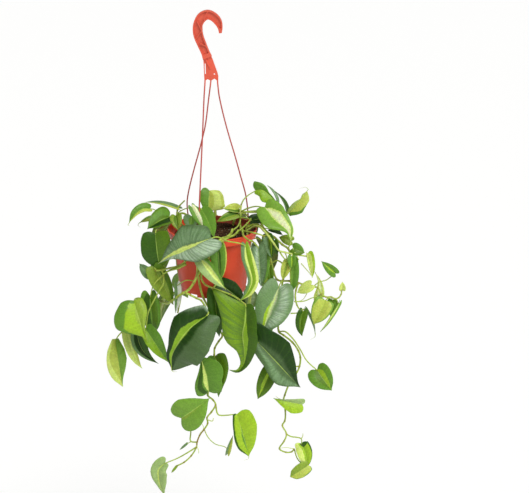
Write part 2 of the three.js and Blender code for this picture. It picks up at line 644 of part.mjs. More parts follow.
    leaves: [
      [0, 3, [72, 68, -16], [110, 46, -8], 15, {
        face: [0.1, 0.25, 1], fold: 10, lobe: [0.3, 0.5], rib: [[82, 68.5, -14], [93, 63, -12]],
        sides: [[0.5, 0.9, 1.35, 1.5, 1.5], [1.2, 0.75, 0.2, 0.2, 0.2]],
        way: [[52, 52, -16], [60, 60, -17]],
      }],
      [0, 2, [88, 40, 6], [132.5, -19, 44], 24, {
        face: [0.1, 0.45, 0.9], fold: 12, rib: [[103, 21, 22], [116, 9, 32], [127, -2, 39]],
        lobe: [0.4, 0.6], sides: [[0.8, 0.91, 0.96, 0.92, 0.5, 0.25, 0.5], [0.95, 1.06, 1.0, 0.97, 1.0]],
        way: [[60, 38, -8], [74, 41, 0]],
      }],
      [0, 2, [44, 37, -22], [17, 37, -10], 9, { face: [0, 0.6, 0.8], fold: 12 }],
      [0, 1, [43, 29, -18], [6, 15, -6], 9, { face: [0, 0.5, 0.85], fold: 14 }],
      [0, 1, [65, 17, -12], [93, 21, -22], 10, { face: [0, 0.6, 0.8], fold: 14, way: [[56, 22, -10]] }],
      [0, 2, [126, 31, -2], [105.5, 67, -22], 11, {
        face: [0.9, 0.4, 0.25], fold: 14, way: [[62, 32, -30], [80, 33, -36], [108, 26, -24]],
      }],
      [0, 2, [109, 50, -34], [92, 77, -44], 8, {
        face: [0.8, 0.5, 0.2], fold: 14, way: [[62, 33, -34], [84, 36, -42]],
      }],
      [0, 2, [129, 29, 6], [160, 67, 0], 16, {
        face: [0, 0.2, 1], fold: 12, lobe: 0.3,
        sides: [[0.4, 0.8, 1.08, 1.08, 1.25, 1.9, 3.4], [0.3, 0.38, 0.4, 0.33, 0.05, 0.5, 0.7]],
        way: [[62, 31, -26], [82, 30, -30], [110, 22, -16]],
        drip: [[162, 70, 0], [157, 73.5, 0], [147, 71, 0]],
      }],
    ],
  },
  {
    name: 'vine_front_right',
    root: [52, -4],
    stems: [
      [[50, -0.5, 12], [51, -6.5, 38], [52, -9, 58], [60, -16, 67], [67, -18, 60], [73, -25, 52]],
      [0, [56, -2, 24], [64, -3, 42], [75, -5.5, 48], [85, -9, 46], [90, -16, 42]],
    ],
    leaves: [
      [0, 5, [77, -28, 51], [82, -96, 58], 14, { fold: 14 }],
      [1, 5, [89, -42, 38], [85, -92, 40], 8, { face: [0.3, 0, 1], fold: 16, way: [[92, -28, 40]] }],
      [1, 5, [93, -10, 43], [100, -48, 46], 11, { face: [-0.1, 0.1, 1], fold: 16 }],
      [1, 4, [104, -18, 42], [109, -42, 44], 7, { fold: 14, way: [[97, -9, 45]] }],
    ],
  },
  {
    name: 'vine_right_mid',
    root: [58, 6],
    stems: [
      [
        [60, 6, -4], [68, 9.5, -3], [77, 9.5, 0], [86, 3, 6], [95, -5, 10], [105, -12, 13], [118, -24, 16],
        [128, -31, 18], [131, -40, 20], [129, -52, 22], [125, -68, 26], [119, -84, 30], [117, -100, 28],
        [114, -130, 28], [112, -172, 34], [120, -178, 38], [135, -190, 40], [145, -204, 40],
        [148.5, -216, 40], [147, -231, 40], [140, -246, 40], [130, -260, 38], [122, -280, 38],
        [120, -288, 38], [123, -306, 36], [122, -324, 36], [118, -331, 36], [125, -346, 36],
        [121, -358, 36], [113, -371, 36], [124, -377, 36], [134, -376, 36], [138, -371, 36],
      ],
    ],
    leaves: [
      [0, 3, [97, 2, 4], [119, -8, 2], 6, { face: [0, 0.8, 0.6], fold: 14 }],
      [0, 7, [134, -18, 12], [112, -11, 8], 9, { face: [0, 0.3, 1], fold: 10 }],
      [0, 10, [95, -62, 30], [100, -92, 32], 7, {
        fold: 20, way: [[117, -55, 28], [108, -51, 28], [99, -57, 29]],
      }],
      [0, 11, [112, -96, 44], [82, -178, 64], 33, {
        face: [0, 0.25, 1], fold: 10, arch: 0.05, sides: [[0.8, 0.95, 0.95, 0.9], [0.9, 1.05, 1.1, 1.0]],
      }],
      [0, 13, [75, -189, 74], [149, -267, 66], 34, {
        face: [0.05, 0.3, 1], fold: 12, arch: 0.05, lobe: [0.5, 2],
        sides: [[0.45, 0.62, 1.15, 1.2], [1.0, 1.2, 0.88, 0.3]], way: [[92, -146, 42], [79, -164, 58]],
      }],
      [0, 19, [98, -236, 50], [76, -287, 54], 15, { fold: 12, way: [[122, -232, 42]] }],
      [0, 14, [177, -237, 40], [202, -272, 52], 21, {
        face: [-0.2, 0.3, 1], fold: 12,
        way: [[123, -172, 42], [136, -184, 46], [147, -200, 46], [160, -222, 43]],
      }],
      [0, 23, [152, -296, 42], [102, -285, 50], 14, {
        face: [0, 0.3, 1], fold: 8, lobe: 0.5, sides: [[0.85, 0.5, 0.25, 0.25], [1.1, 1.35, 1.1, 0.8]],
        way: [[132, -290, 38]],
      }],
      [0, 27, [150, -362, 36], [159, -404, 38], 15, {
        fold: 10, bend: -0.08, lobe: 0.4, sides: [[0.9, 1.0, 1.1, 1.3], [0.9, 0.9, 0.8, 0.8]],
        way: [[132, -350, 36], [150, -354, 35]],
      }],
      [0, 32, [162, -399, 42], [131, -419, 48], 13, {
        face: [0, 0.2, 1], fold: 8, lobe: 0.5, sides: [[0.9, 1.0, 1.2, 2.0], [0.9, 1.0, 1.2, 2.0]],
        way: [[143, -387, 39], [150, -395, 39]],
      }],
    ],
  },
  {
    name: 'vine_right_far',
    root: [60, -4],
    stems: [
      [
        [62, 2, 6], [70, 7, 12], [78, 7, 24], [86, 0, 40], [97, -13, 54], [104, -23, 55], [112, -34, 48],
        [122, -37, 41], [136, -40, 37], [148, -42, 36], [160, -44, 36],
      ],
    ],
    leaves: [
      [0, 8, [136, -30, 33], [156, -38, 36], 11, { fold: 8 }],
      [0, 10, [161, -39, 36], [169, -81, 42], 11, {
        face: [-0.1, 0.1, 1], fold: 14, lobe: [0.3, 0.6], sides: [0.25, 1.0],
      }],
      [0, 8, [134, -44, 40], [134, -66, 44], 8, { fold: 17 }],
      [0, 8, [138, -51, 31], [133, -107, 34], 9, {
        fold: 14, sides: [[0.7, 0.7, 0.6, 0.5], [0.9, 1.2, 1.5, 1.4]],
      }],
      [0, 7, [127, -53, 34], [118, -84, 38], 9, { fold: 18 }],
    ],
  },
  {
    name: 'vine_right_end',
    root: [58, 18],
    stems: [
      [
        [60, 8, -16], [70, 13, -16], [79, 14, -14], [88, 0, -10], [96, -38, -4], [103, -70, 4],
        [110, -84, 10], [130, -86, 14], [145, -89, 16], [160, -94, 18], [170, -96, 20], [178, -97, 20],
        [184, -108, 20], [192, -113, 20], [201, -113, 20], [208, -116, 20], [214, -114, 20],
        [218, -108, 20], [219, -102, 20],
      ],
      [8, [141, -102, 18], [140, -114, 18], [143, -127, 18], [148, -134, 17], [155, -134, 17]],
    ],
    leaves: [
      [0, 10, [167, -92, 22], [143, -106, 20], 10, { face: [0, 0.3, 1], fold: 10 }],
      [0, 10, [208, -73, 20], [184, -52, 24], 9, {
        face: [-0.2, 0.4, 1], fold: 14, way: [[180, -88, 20], [193, -84, 20]],
      }],
      [0, 12, [181, -112, 12], [173.5, -71, 10], 9, {
        face: [0.1, 0.2, 1], fold: 10, lobe: [0.3, 2.6], rib: [[182.5, -99, 12], [181, -86, 11]],
        sides: [[1.0, 0.7, 0.4, 0.4], [1.3, 0.8, 0.4, 0.4]],
        drip: [[171.5, -69.5, 10], [169.5, -71.5, 10]],
      }],
      [0, 14, [191, -119, 24], [171, -160, 32], 18, { fold: 10, lobe: 0.3 }],
      [0, 14, [203, -119, 14], [203, -149, 12], 10, { fold: 10 }],
      [0, 15, [214, -125, 18], [182, -173, 18], 6, { face: [0.8, 0.3, 0.5], fold: 16, bend: 0.1 }],
      [0, 18, [220, -101, 20], [220, -87, 20], 6, { fold: 16 }],
      [1, 4, [154, -137, 18], [152, -180, 22], 10, { fold: 12, bend: 0.1 }],
      [1, 5, [159, -135, 15], [174, -177, 12], 5, {
        face: [0.9, 0.2, 0.4], fold: 14, bend: 0.05, drip: [[173, -181, 12], [165, -186, 12]],
      }],
    ],
  },
];

// The back of the plant hangs in plain trails. Each leaves the soil at its azimuth, crosses the rim and
// hangs in even steps, with a leaf to the left and to the right by turns.
const TRAIL = {
  rimCrossing: [64, 80],
  rise: 9,
  shoulderDepth: 8,
  sway: 5,
  swayPace: 2.1,
  aside: 15,
  out: [9, 3],
  shrink: 0.05,
  spread: 0.35,
  lean: 6,
  fall: 0.92,
  slimness: 0.36,
  fold: 14,
};
const BACK_TRAILS = [
  { name: 'vine_back_left', azimuth: 135, root: 54, hang: 88, drop: 187, leaves: 5, size: 66 },
  { name: 'vine_back_mid', azimuth: 88, root: 52, hang: 90, drop: 150, leaves: 6, size: 66 },
  { name: 'vine_back_right', azimuth: 48, root: 52, hang: 96, drop: 225, leaves: 6, size: 64 },
];

function trail({ name, azimuth, root, hang, drop, leaves, size }) {
  const turn = THREE.MathUtils.degToRad(azimuth);
  const out = point(Math.cos(turn), Math.sin(turn), 0);
  const aside = point(-out.y, out.x, 0);
  const route = TRAIL.rimCrossing.map((radius) => onRim(azimuth, radius, -TRAIL.rise));
  route.push(onRim(azimuth, hang - 2, TRAIL.shoulderDepth));
  const step = (drop - 20) / leaves;
  for (let node = 1; node <= leaves; node += 1) {
    const sway = TRAIL.sway * Math.sin(node * TRAIL.swayPace + azimuth);
    route.push(onRim(azimuth, hang, TRAIL.shoulderDepth + node * step).addScaledVector(aside, sway));
  }
  const blades = Array.from({ length: leaves }, (_, index) => {
    const side = index % 2 ? -1 : 1;
    const length = size * (1 - TRAIL.shrink * index);
    const base = route[index + 2].clone()
      .addScaledVector(aside, side * TRAIL.aside)
      .addScaledVector(out, TRAIL.out[0] + TRAIL.out[1] * (index % 3));
    const tip = base.clone()
      .addScaledVector(aside, side * length * TRAIL.spread)
      .addScaledVector(out, TRAIL.lean);
    tip.z -= length * TRAIL.fall;
    const face = [out.x, 0.25, -out.y];
    return [0, index + 2, base, tip, length * TRAIL.slimness, { face, fold: TRAIL.fold }];
  });
  return { name, root: [root * out.x, root * out.y], stems: [route], leaves: blades };
}

// A leaf stalk that has no listed places bows up a little on its way.
function bowed(foot, base) {
  const rise = point(0, 0, STALK_BOW * foot.distanceTo(base));
  return foot.clone().lerp(base, 0.5).add(rise);
}

function vine({ root, stems: [main, ...branches], leaves }) {
  const lines = [main.map(placed)];
  for (const [node, ...rest] of branches) lines.push([lines[0][node], ...rest.map(placed)]);
  const rooting = [rooted(...root, -ROOT_DEPTH), rooted(...root, ROOT_RISE)];
  const solids = lines.map((line, index) => {
    return index === 0 ? tube([...rooting, ...line], STEM_RADIUS, 4) : tube(line, BRANCH_RADIUS, 4);
  });
  for (const [stem, node, base, tip, half, shape] of leaves) {
    const foot = lines[stem][node];
    const { solid, crest, seat } = blade(placed(base), placed(tip), half, shape);
    const way = shape.way ? shape.way.map(placed) : [bowed(foot, placed(base))];
    solids.push(solid, tube([foot, ...way, seat], STALK_RADIUS, 3));
    if (shape.drip) solids.push(tube([crest(0.94), crest(1), ...shape.drip.map(placed)], DRIP_RADIUS, 3));
  }
  return joined(solids);
}

// Materials and nodes

const TERRACOTTA = { color: 0xc9573a, roughness: 0.42 };
const CORAL = { color: 0xe2745c, roughness: 0.45 };
const PEAT = { color: 0x2f2016, roughness: 0.95 };
const FOLIAGE = { color: 0x56802f, roughness: 0.4 };

const model = new THREE.Group();

function put(name, solid, finish) {
  const mesh = new THREE.Mesh(geometryOf(solid), new THREE.MeshStandardMaterial({ metalness: 0, ...finish }));
  mesh.name = name;
  model.add(mesh);
}

const vines = [...VINES, ...BACK_TRAILS.map(trail)];

put('pot', pot(), TERRACOTTA);
put('soil', soil(vines.map(({ root }) => root)), PEAT);
put('hanger_hook', hangerHook(), CORAL);
Object.keys(STRAND_AZIMUTHS).forEach((name) => put(name, strand(name), CORAL));
vines.forEach((plant) => put(plant.name, vine(plant), FOLIAGE));

export default model;
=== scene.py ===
"""A potted heartleaf philodendron with a moulded plastic pot and hanger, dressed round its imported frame.

Lengths and places are millimetres in the frame's axes, and become metres where a mesh is made.
"""
import math
import random

import bmesh
import bpy
import numpy as np
from mathutils import Matrix, Vector, noise


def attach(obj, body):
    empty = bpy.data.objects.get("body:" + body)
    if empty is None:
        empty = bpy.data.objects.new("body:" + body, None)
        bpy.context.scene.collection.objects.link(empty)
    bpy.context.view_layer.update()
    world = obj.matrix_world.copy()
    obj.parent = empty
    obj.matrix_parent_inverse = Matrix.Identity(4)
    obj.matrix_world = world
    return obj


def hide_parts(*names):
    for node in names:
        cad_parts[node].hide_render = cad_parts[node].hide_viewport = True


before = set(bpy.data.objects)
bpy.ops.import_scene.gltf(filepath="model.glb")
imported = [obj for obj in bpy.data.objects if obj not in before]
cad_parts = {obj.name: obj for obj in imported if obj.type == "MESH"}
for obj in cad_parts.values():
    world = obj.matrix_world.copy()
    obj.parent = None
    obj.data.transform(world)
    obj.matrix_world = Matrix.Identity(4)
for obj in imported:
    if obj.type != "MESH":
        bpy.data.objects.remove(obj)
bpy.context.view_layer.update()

MM = 0.001
FULL_TURN = 2 * math.pi

# The photograph's line of sight. A place on the plant is read as millimetres to the right of and above
# SIGHT_POINT, square to that line, and how far out in front of the pot's axis it lies, measured level. A
# pixel of the picture is PIXEL wide there.
SIGHT_TILT = math.radians(17)
SIGHT_POINT = Vector((4.5, 0, -359))
SIGHT_DISTANCE = 2500
PIXEL = 1.7
PICTURE_WIDTH = 529 * PIXEL
PICTURE_CENTRE = (87.6, -27.2)
SENSOR_WIDTH = 36
RIGHTWARD = Vector((1, 0, 0))
UPWARD = Vector((0, math.sin(SIGHT_TILT), math.cos(SIGHT_TILT)))
NEARWARD = Vector((0, -math.cos(SIGHT_TILT), math.sin(SIGHT_TILT)))
EYE = SIGHT_POINT + PICTURE_CENTRE[0] * RIGHTWARD + PICTURE_CENTRE[1] * UPWARD + SIGHT_DISTANCE * NEARWARD

# Pot, measured from the top of its rim and round its axis. LUG, LUG_SLOT, TONGUE and BARB are blocks' widths,
# depths and heights.
POT_AXIS_X = 3.5
RIM_Z = -354
RIM_RADIUS = 76
COLLAR_HEIGHT = 13
COLLAR_FOOT_RADIUS = 74.4
WALL = 2
SHOULDER_RADIUS = 66.5
SHOULDER_DEPTH = 10
FOOT_RADIUS = 56
POT_HEIGHT = 108
FLOOR_THICKNESS = 2.5
FLOOR_LIFT = 4
FOOT_NOTCHES = 8
NOTCH_WIDTH = 15
NOTCH_HEIGHT = 4.5
NOTCH_AZIMUTH = 11
POT_COLUMNS = 240
POT_EDGE = 0.25
LUG = (6.4, 11, 3)
LUG_SLOT = (2.6, 5.6, 24)

# Soil inside it
SOIL_EDGE_DEPTH = 13
SOIL_CROWN = 5.5
SOIL_TILT = 0.05
SOIL_RADIUS = 63.6
SOIL_RINGS = 64
SOIL_COLUMNS = 160
SOIL_CLEARANCE = 0.3
ROOT_DEPTH = 16
ROOT_RISE = 4

# Hanger
HOOK_DEPTH = 9
HOOK_WEB = 3
HOOK_FLANGE = 2
HOOK_RIB = 1.6
PLATE_THICKNESS = 2.6
STRAND_RADIUS = 1.15
TONGUE = (2, 5, 12)
BARB = (2, 7.4, 2.6)
EYE_RADIUS = 70.6
STRAND_AZIMUTHS = {"strand_front": 250, "strand_left": 128, "strand_right": 30}

# Plant
BLADE_THICKNESS = 0.5
VEIN_PAIRS = 15
VEIN_DEPTH = 0.25
MIDRIB_DEPTH = 0.9
MIDRIB_REACH = 1.1
FULL_HALF = 20
STEM_RADIUS = 2.0
BRANCH_RADIUS = 1.7
STEM_TAPER = 0.62
NODE_SWELLING = 0.22
NODE_SHARPNESS = 3.2
STEM_SIDES = 12
STALK_SIDES = 8
THREAD_SIDES = 6
STALK_RADIUS = 1.25
STALK_BOW = 0.12
DRIP_RADIUS = 0.75
SAMPLES = 6


def point(x, y, z):
    return Vector((x, y, z))


def seen(right, up, out):
    sighted = SIGHT_POINT + right * RIGHTWARD + up * UPWARD
    share = (-out - EYE.y) / (sighted.y - EYE.y)
    return EYE + share * (sighted - EYE)


def placed(place):
    return place if isinstance(place, Vector) else seen(*place)


def all_placed(places):
    return [placed(place) for place in places]


def on_rim(azimuth, radius, depth):
    turn = math.radians(azimuth)
    return point(POT_AXIS_X + radius * math.cos(turn), radius * math.sin(turn), RIM_Z - depth)


def rooted(x, y, rise):
    return point(POT_AXIS_X + x, y, RIM_Z - SOIL_EDGE_DEPTH + SOIL_CROWN + rise)


def add_object(name, data):
    made = bpy.data.objects.new(name, data)
    bpy.context.scene.collection.objects.link(made)
    return made


# Camera

def make_camera():
    camera = add_object("camera", bpy.data.cameras.new("camera"))
    camera.data.sensor_width = SENSOR_WIDTH
    camera.data.lens = SENSOR_WIDTH * SIGHT_DISTANCE / PICTURE_WIDTH
    camera.location = EYE * MM
    camera.rotation_euler = (math.pi / 2 - SIGHT_TILT, 0, 0)
    bpy.context.scene.camera = camera


make_camera()


# Shapes

def hermite(t, start, leaving, end, arriving):
    return (2 * t**3 - 3 * t**2 + 1) * start + (t**3 - 2 * t**2 + t) * leaving \
        + (3 * t**2 - 2 * t**3) * end + (t**3 - t**2) * arriving


def smooth(points, per_span):
    """A centripetal Catmull-Rom curve through the points, sampled evenly between each two."""
    listed = [np.array(place, float) for place in points]
    carried = [2 * listed[0] - listed[1], *listed, 2 * listed[-1] - listed[-2]]
    curve = []
    for a, b, c, d in zip(carried, carried[1:], carried[2:], carried[3:]):
        before, span, after = (max(np.linalg.norm(q - p), 1e-4) ** 0.5 for p, q in ((a, b), (b, c), (c, d)))
        leaving = ((b - a) / before - (c - a) / (before + span) + (c - b) / span) * span
        arriving = ((c - b) / span - (d - b) / (span + after) + (d - c) / after) * span
        curve.extend(hermite(step / per_span, b, leaving, c, arriving) for step in range(per_span))
    return np.array([*curve, listed[-1]])


def run_along(path):
    """How far along a sampled path each of its places is."""
    return np.concatenate([[0], np.cumsum(np.linalg.norm(np.diff(path, axis=0), axis=1))])


class Shape:
    """Gathers the points, faces and painted data of one piece."""

    def __init__(self, **layers):
        self.points = []
        self.faces = []
        self.finishes = []
        self.layers = {name: (kind, []) for name, kind in layers.items()}

    def add(self, points, faces, finish=0, **painted):
        """finish is one material's index, or a list of them by face. painted gives each layer's values."""
        start = len(self.points)
        self.points.extend(tuple(place) for place in points)
        self.faces.extend(tuple(start + corner for corner in face) for face in faces)
        self.finishes.extend(finish if isinstance(finish, list) else [finish] * len(faces))
        for name, (kind, values) in self.layers.items():
            size = {"FLOAT": 1, "FLOAT_VECTOR": 3, "FLOAT_COLOR": 4}[kind]
            given = painted.get(name)
            if given is None:
                given = np.zeros(size)
            given = np.asarray(given, float)
            if given.ndim < 2 and given.size == size:
                given = np.tile(given.reshape(1, size), (len(points), 1))
            values.append(given.reshape(len(points), size))

    def build(self, name, materials):
        mesh = bpy.data.meshes.new(name)
        mesh.from_pydata([[axis * MM for axis in place] for place in self.points], [], self.faces)
        for material in materials:
            mesh.materials.append(material)
        mesh.polygons.foreach_set("material_index", self.finishes)
        mesh.polygons.foreach_set("use_smooth", [True] * len(self.faces))
        for layer, (kind, values) in self.layers.items():
            attribute = mesh.attributes.new(layer, kind, "POINT")
            field = {"FLOAT": "value", "FLOAT_VECTOR": "vector", "FLOAT_COLOR": "color"}[kind]
            attribute.data.foreach_set(field, np.concatenate(values).astype(np.float32).ravel())
        outward = bmesh.new()
        outward.from_mesh(mesh)
        bmesh.ops.recalc_face_normals(outward, faces=outward.faces)
        outward.to_mesh(mesh)
        outward.free()
        return add_object(name, mesh)


def ringed(rings, columns):
    """Faces of a closed body whose points are rings of equal columns, then the ends by the first and last."""
    faces = []
    ends = rings * columns
    for column in range(columns):
        following = (column + 1) % columns
        for ring in range(rings - 1):
            a, b = ring * columns + column, ring * columns + following
            faces.append((a, b, b + columns, a + columns))
        faces.append((ends, following, column))
        faces.append((ends + 1, ends - columns + column, ends - columns + following))
    return faces


def tube(path, radii, sides):
    """Points and faces of a round tube with closed ends along a path."""
    path = np.asarray(path, float)
    ahead = np.gradient(path, axis=0)
    ahead /= np.linalg.norm(ahead, axis=1, keepdims=True) + 1e-9
    across = np.cross(ahead[0], (0.3, 0.5, 0.8))
    points = []
    turns = np.arange(sides) * FULL_TURN / sides
    for place, forward, radius in zip(path, ahead, np.broadcast_to(radii, len(path))):
        across = across - forward * across.dot(forward)
        across /= np.linalg.norm(across) + 1e-9
        beside = np.cross(forward, across)
        points.extend(place + radius * (np.outer(np.cos(turns), across) + np.outer(np.sin(turns), beside)))
    return [*points, path[0], path[-1]], ringed(len(path), sides)


def eased(profile, reach):
    """The profile with each corner turned into a short curve that begins and ends reach away from it."""
    listed = [np.array(place, float) for place in profile]
    curve = [listed[0]]
    for before, corner, after in zip(listed, listed[1:], listed[2:]):
        back, onward = before - corner, after - corner
        back *= min(reach / np.linalg.norm(back), 0.45)
        onward *= min(reach / np.linalg.norm(onward), 0.45)
        curve.extend(corner + (1 - t) ** 2 * back + t**2 * onward for t in np.linspace(0, 1, 5))
    return [*curve, listed[-1]]


def turned(profile, turns, lift):
    """Points and faces of a closed body turned round the pot's axis. lift moves a place up by its turn."""
    points = []
    for radius, height in profile[1:-1]:
        for turn in turns:
            rise = height + lift(turn, radius, height)
            points.append((POT_AXIS_X + radius * math.cos(turn), radius * math.sin(turn), RIM_Z + rise))
    points.extend((POT_AXIS_X, 0, RIM_Z + profile[end][1]) for end in (0, -1))
    return points, ringed(len(profile) - 2, len(turns))


def slab(outline, depth, middle=0.0):
    """Points and faces of an outline in the plane of the hanging point, given thickness along Y."""
    count = len(outline)
    points = [(x, middle + side * depth / 2, z) for side in (-1, 1) for x, z in outline]
    faces = [tuple(range(count)), tuple(range(2 * count - 1, count - 1, -1))]
    faces.extend((a, (a + 1) % count, (a + 1) % count + count, a + count) for a in range(count))
    return points, faces


def block(size, centre, azimuth):
    """Points and faces of a block of the given width, depth and height, its width along the azimuth."""
    wide, deep, high = size
    turn = math.radians(azimuth)
    out, aside = Vector((math.cos(turn), math.sin(turn), 0)), Vector((-math.sin(turn), math.cos(turn), 0))
    corners = ((-0.5, -0.5), (0.5, -0.5), (0.5, 0.5), (-0.5, 0.5))
    points = [centre + out * right * wide + aside * near * deep + point(0, 0, low * high)
              for low in (-0.5, 0.5) for right, near in corners]
    faces = [(0, 3, 2, 1), (4, 5, 6, 7), (0, 1, 5, 4), (1, 2, 6, 5), (2, 3, 7, 6), (3, 0, 4, 7)]
    return points, faces


def solid(body):
    """A piece made of a body's points and faces."""
    shape = Shape()
    shape.add(*body)
    return shape.build("working", [])


def settle(piece):
    """Turns a piece's modifiers into its mesh."""
    made = bpy.data.meshes.new_from_object(piece.evaluated_get(bpy.context.evaluated_depsgraph_get()))
    piece.modifiers.clear()
    piece.data = made


def combine(target, body, operation):
    """Joins a body to the target, or cuts it out. The body is a piece, or points and faces."""
    tool = solid(body) if isinstance(body, tuple) else body
    modifier = target.modifiers.new("combine", "BOOLEAN")
    modifier.operation = operation
    modifier.solver = "MANIFOLD"
    modifier.object = tool
    settle(target)
    bpy.data.objects.remove(tool)


def soften(piece, width, segments):
    """Rounds a piece's sharp edges and lets its flat faces keep their own shading."""
    bevel = piece.modifiers.new("bevel", "BEVEL")
    bevel.width = width * MM
    bevel.segments = segments
    bevel.limit_method = "ANGLE"
    bevel.angle_limit = math.radians(40)
    piece.modifiers.new("normals", "WEIGHTED_NORMAL")
    settle(piece)
    for polygon in piece.data.polygons:
        polygon.use_smooth = True


def dress(piece, name, material, slot, *nodes):
    """Names a finished piece, gives it its material and puts it in place of the frame's nodes."""
    piece.name = name
    piece.data.materials.clear()
    piece.data.materials.append(material)
    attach(piece, "root")
    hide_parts(*nodes)


# Materials

def linear(red, green, blue):
    """A colour given as 0 to 255 in each channel, in the renderer's own linear scale."""
    shares = [channel / 255 for channel in (red, green, blue)]
    return tuple(s / 12.92 if s <= 0.04045 else ((s + 0.055) / 1.055) ** 2.4 for s in shares)


ZONE_LAYERS = ("zone_a", "zone_b", "zone_c")


class Surface:
    """A material under construction. Its helpers add a node and return the node's first output."""

    def __init__(self, name, **settings):
        self.material = bpy.data.materials.new(name)
        self.material.use_nodes = True
        self.tree = self.material.node_tree
        self.shader = self.tree.nodes["Principled BSDF"]
        for socket, value in settings.items():
            self.shader.inputs[socket.replace("_", " ")].default_value = value

    def node(self, kind, inputs=(), **fields):
        made = self.tree.nodes.new("ShaderNode" + kind)
        for field, value in fields.items():
            setattr(made, field, value)
        for socket, value in dict(inputs).items():
            self.feed(made.inputs[socket], value)
        return made

    def feed(self, socket, value):
        if isinstance(value, bpy.types.NodeSocket):
            self.tree.links.new(value, socket)
        elif isinstance(value, tuple) and len(value) == 3 and socket.type == "RGBA":
            socket.default_value = (*value, 1)
        else:
            socket.default_value = value

    def layer(self, name):
        return self.node("Attribute", attribute_name=name)

    def maths(self, operation, first, second=0.0, third=0.0):
        return self.node("Math", {0: first, 1: second, 2: third}, operation=operation).outputs[0]

    def times(self, first, second):
        return self.maths("MULTIPLY", first, second)

    def vectored(self, operation, *inputs, output=0):
        return self.node("VectorMath", dict(enumerate(inputs)), operation=operation).outputs[output]

    def axes(self, vector):
        return self.node("SeparateXYZ", {0: vector}).outputs

    def vector(self, *axes):
        return self.node("CombineXYZ", dict(enumerate(axes))).outputs[0]

    def here(self):
        return self.node("TexCoord").outputs["Object"]

    def grain(self, scale, detail=3.0, place=None, roughness=0.5):
        if place is None:
            place = self.here()
        inputs = {"Scale": scale, "Detail": detail, "Roughness": roughness, "Vector": place}
        return self.node("TexNoise", inputs).outputs["Fac"]

    def ramped(self, value, low, high, start=0.0, end=1.0):
        inputs = {"Value": value, "From Min": low, "From Max": high, "To Min": start, "To Max": end}
        return self.node("MapRange", inputs, interpolation_type="SMOOTHSTEP").outputs[0]

    def patches(self, scale, low, high, start=0.0, end=1.0, detail=3.0):
        return self.ramped(self.grain(scale, detail), low, high, start, end)

    def blended(self, share, first, second, mode="MIX"):
        mix = self.node("Mix", data_type="RGBA", blend_type=mode)
        self.feed(mix.inputs[0], share)
        self.feed(mix.inputs[6], first)
        self.feed(mix.inputs[7], second)
        return mix.outputs[2]

    def raised(self, height, distance, strength):
        inputs = {"Height": height, "Distance": distance, "Strength": strength}
        return self.node("Bump", inputs).outputs["Normal"]

    def scatter(self, weight, *depths):
        """Lets light into the material by a depth in metres for each channel."""
        self.set(Subsurface_Weight=weight, Subsurface_Radius=depths, Subsurface_Scale=1.0)

    def set(self, **sockets):
        for socket, value in sockets.items():
            self.feed(self.shader.inputs[socket.replace("_", " ")], value)
        return self.material


def blade_surface(name, paleness, roughness, gloss):
    """Leaf tissue. The painted layers give each leaf's place across and along, its tones and their zones."""
    surface = Surface(name, IOR=1.45, Specular_IOR_Level=gloss)
    across, row, seed = surface.axes(surface.layer("blade").outputs["Vector"])
    lows = surface.axes(surface.layer("zone_from").outputs["Vector"])
    highs = surface.axes(surface.layer("zone_to").outputs["Vector"])

    def veined(detail, rows, columns, shift):
        """Noise drawn out along the veins."""
        place = surface.vector(
            surface.times(row, rows), surface.times(across, columns), surface.maths("ADD", seed, shift)
        )
        return surface.grain(1.0, detail, place)

    feather = surface.maths("SUBTRACT", veined(3.0, 34, 1.4, 0), 0.5)
    drift = surface.maths("SUBTRACT", veined(1.0, 5, 1.5, 31), 0.5)
    wandered = surface.maths("MULTIPLY_ADD", feather, 0.12, across)
    wandered = surface.maths("MULTIPLY_ADD", drift, 0.22, wandered)
    colour = surface.layer("tone").outputs["Color"]
    streak = surface.ramped(veined(2.0, 52, 0.9, 57), 0.4, 0.6)

    def past(edge, softness):
        return surface.ramped(
            wandered, surface.maths("SUBTRACT", edge, softness), surface.maths("ADD", edge, softness)
        )

    for index, layer in enumerate(ZONE_LAYERS):
        zone = surface.layer(layer)
        softness = zone.outputs["Alpha"]
        # Only widely feathered tones, such as the silvers, which are painted reflections, are streaked with
        # green along the veins
        streaked = surface.times(streak, surface.ramped(softness, 0.12, 0.15, 0.0, 0.48))
        tissue = surface.blended(streaked, zone.outputs["Color"], linear(66, 98, 52))
        inside = surface.maths("SUBTRACT", past(lows[index], softness), past(highs[index], softness))
        colour = surface.blended(inside, colour, tissue)
    # Veins sweep from the midrib to the margin, one for each whole step of the row
    wave = surface.maths("PINGPONG", surface.times(row, VEIN_PAIRS), 0.5)
    vein = surface.ramped(wave, 0.0, 0.16, 1.0, 0.0)
    midrib = surface.ramped(surface.maths("ABSOLUTE", across), 0.012, 0.045, 1.0, 0.0)
    colour = surface.blended(surface.times(vein, 0.025), colour, linear(150, 180, 80))
    colour = surface.blended(surface.times(midrib, 0.55), colour, linear(178, 205, 96))
    stripe = surface.ramped(veined(2.0, 22, 0.5, 77), 0.3, 0.7, 0.93, 1.05)
    mottle = surface.times(stripe, surface.patches(420, 0.3, 0.7, 0.88, 1.1, 4.0))
    shade = surface.node("CombineColor", {0: mottle, 1: mottle, 2: mottle}).outputs[0]
    colour = surface.blended(1.0, colour, shade, "MULTIPLY")
    colour = surface.blended(paleness, colour, linear(150, 175, 105))
    relief = surface.maths("MULTIPLY_ADD", vein, -0.5, surface.grain(900, 2.0))
    surface.scatter(0.22, 0.0006, 0.0012, 0.0003)
    return surface.set(
        Base_Color=colour,
        Roughness=surface.patches(160, 0.3, 0.7, roughness - 0.06, roughness + 0.08),
        Normal=surface.raised(relief, 0.0004, 0.5),
    )


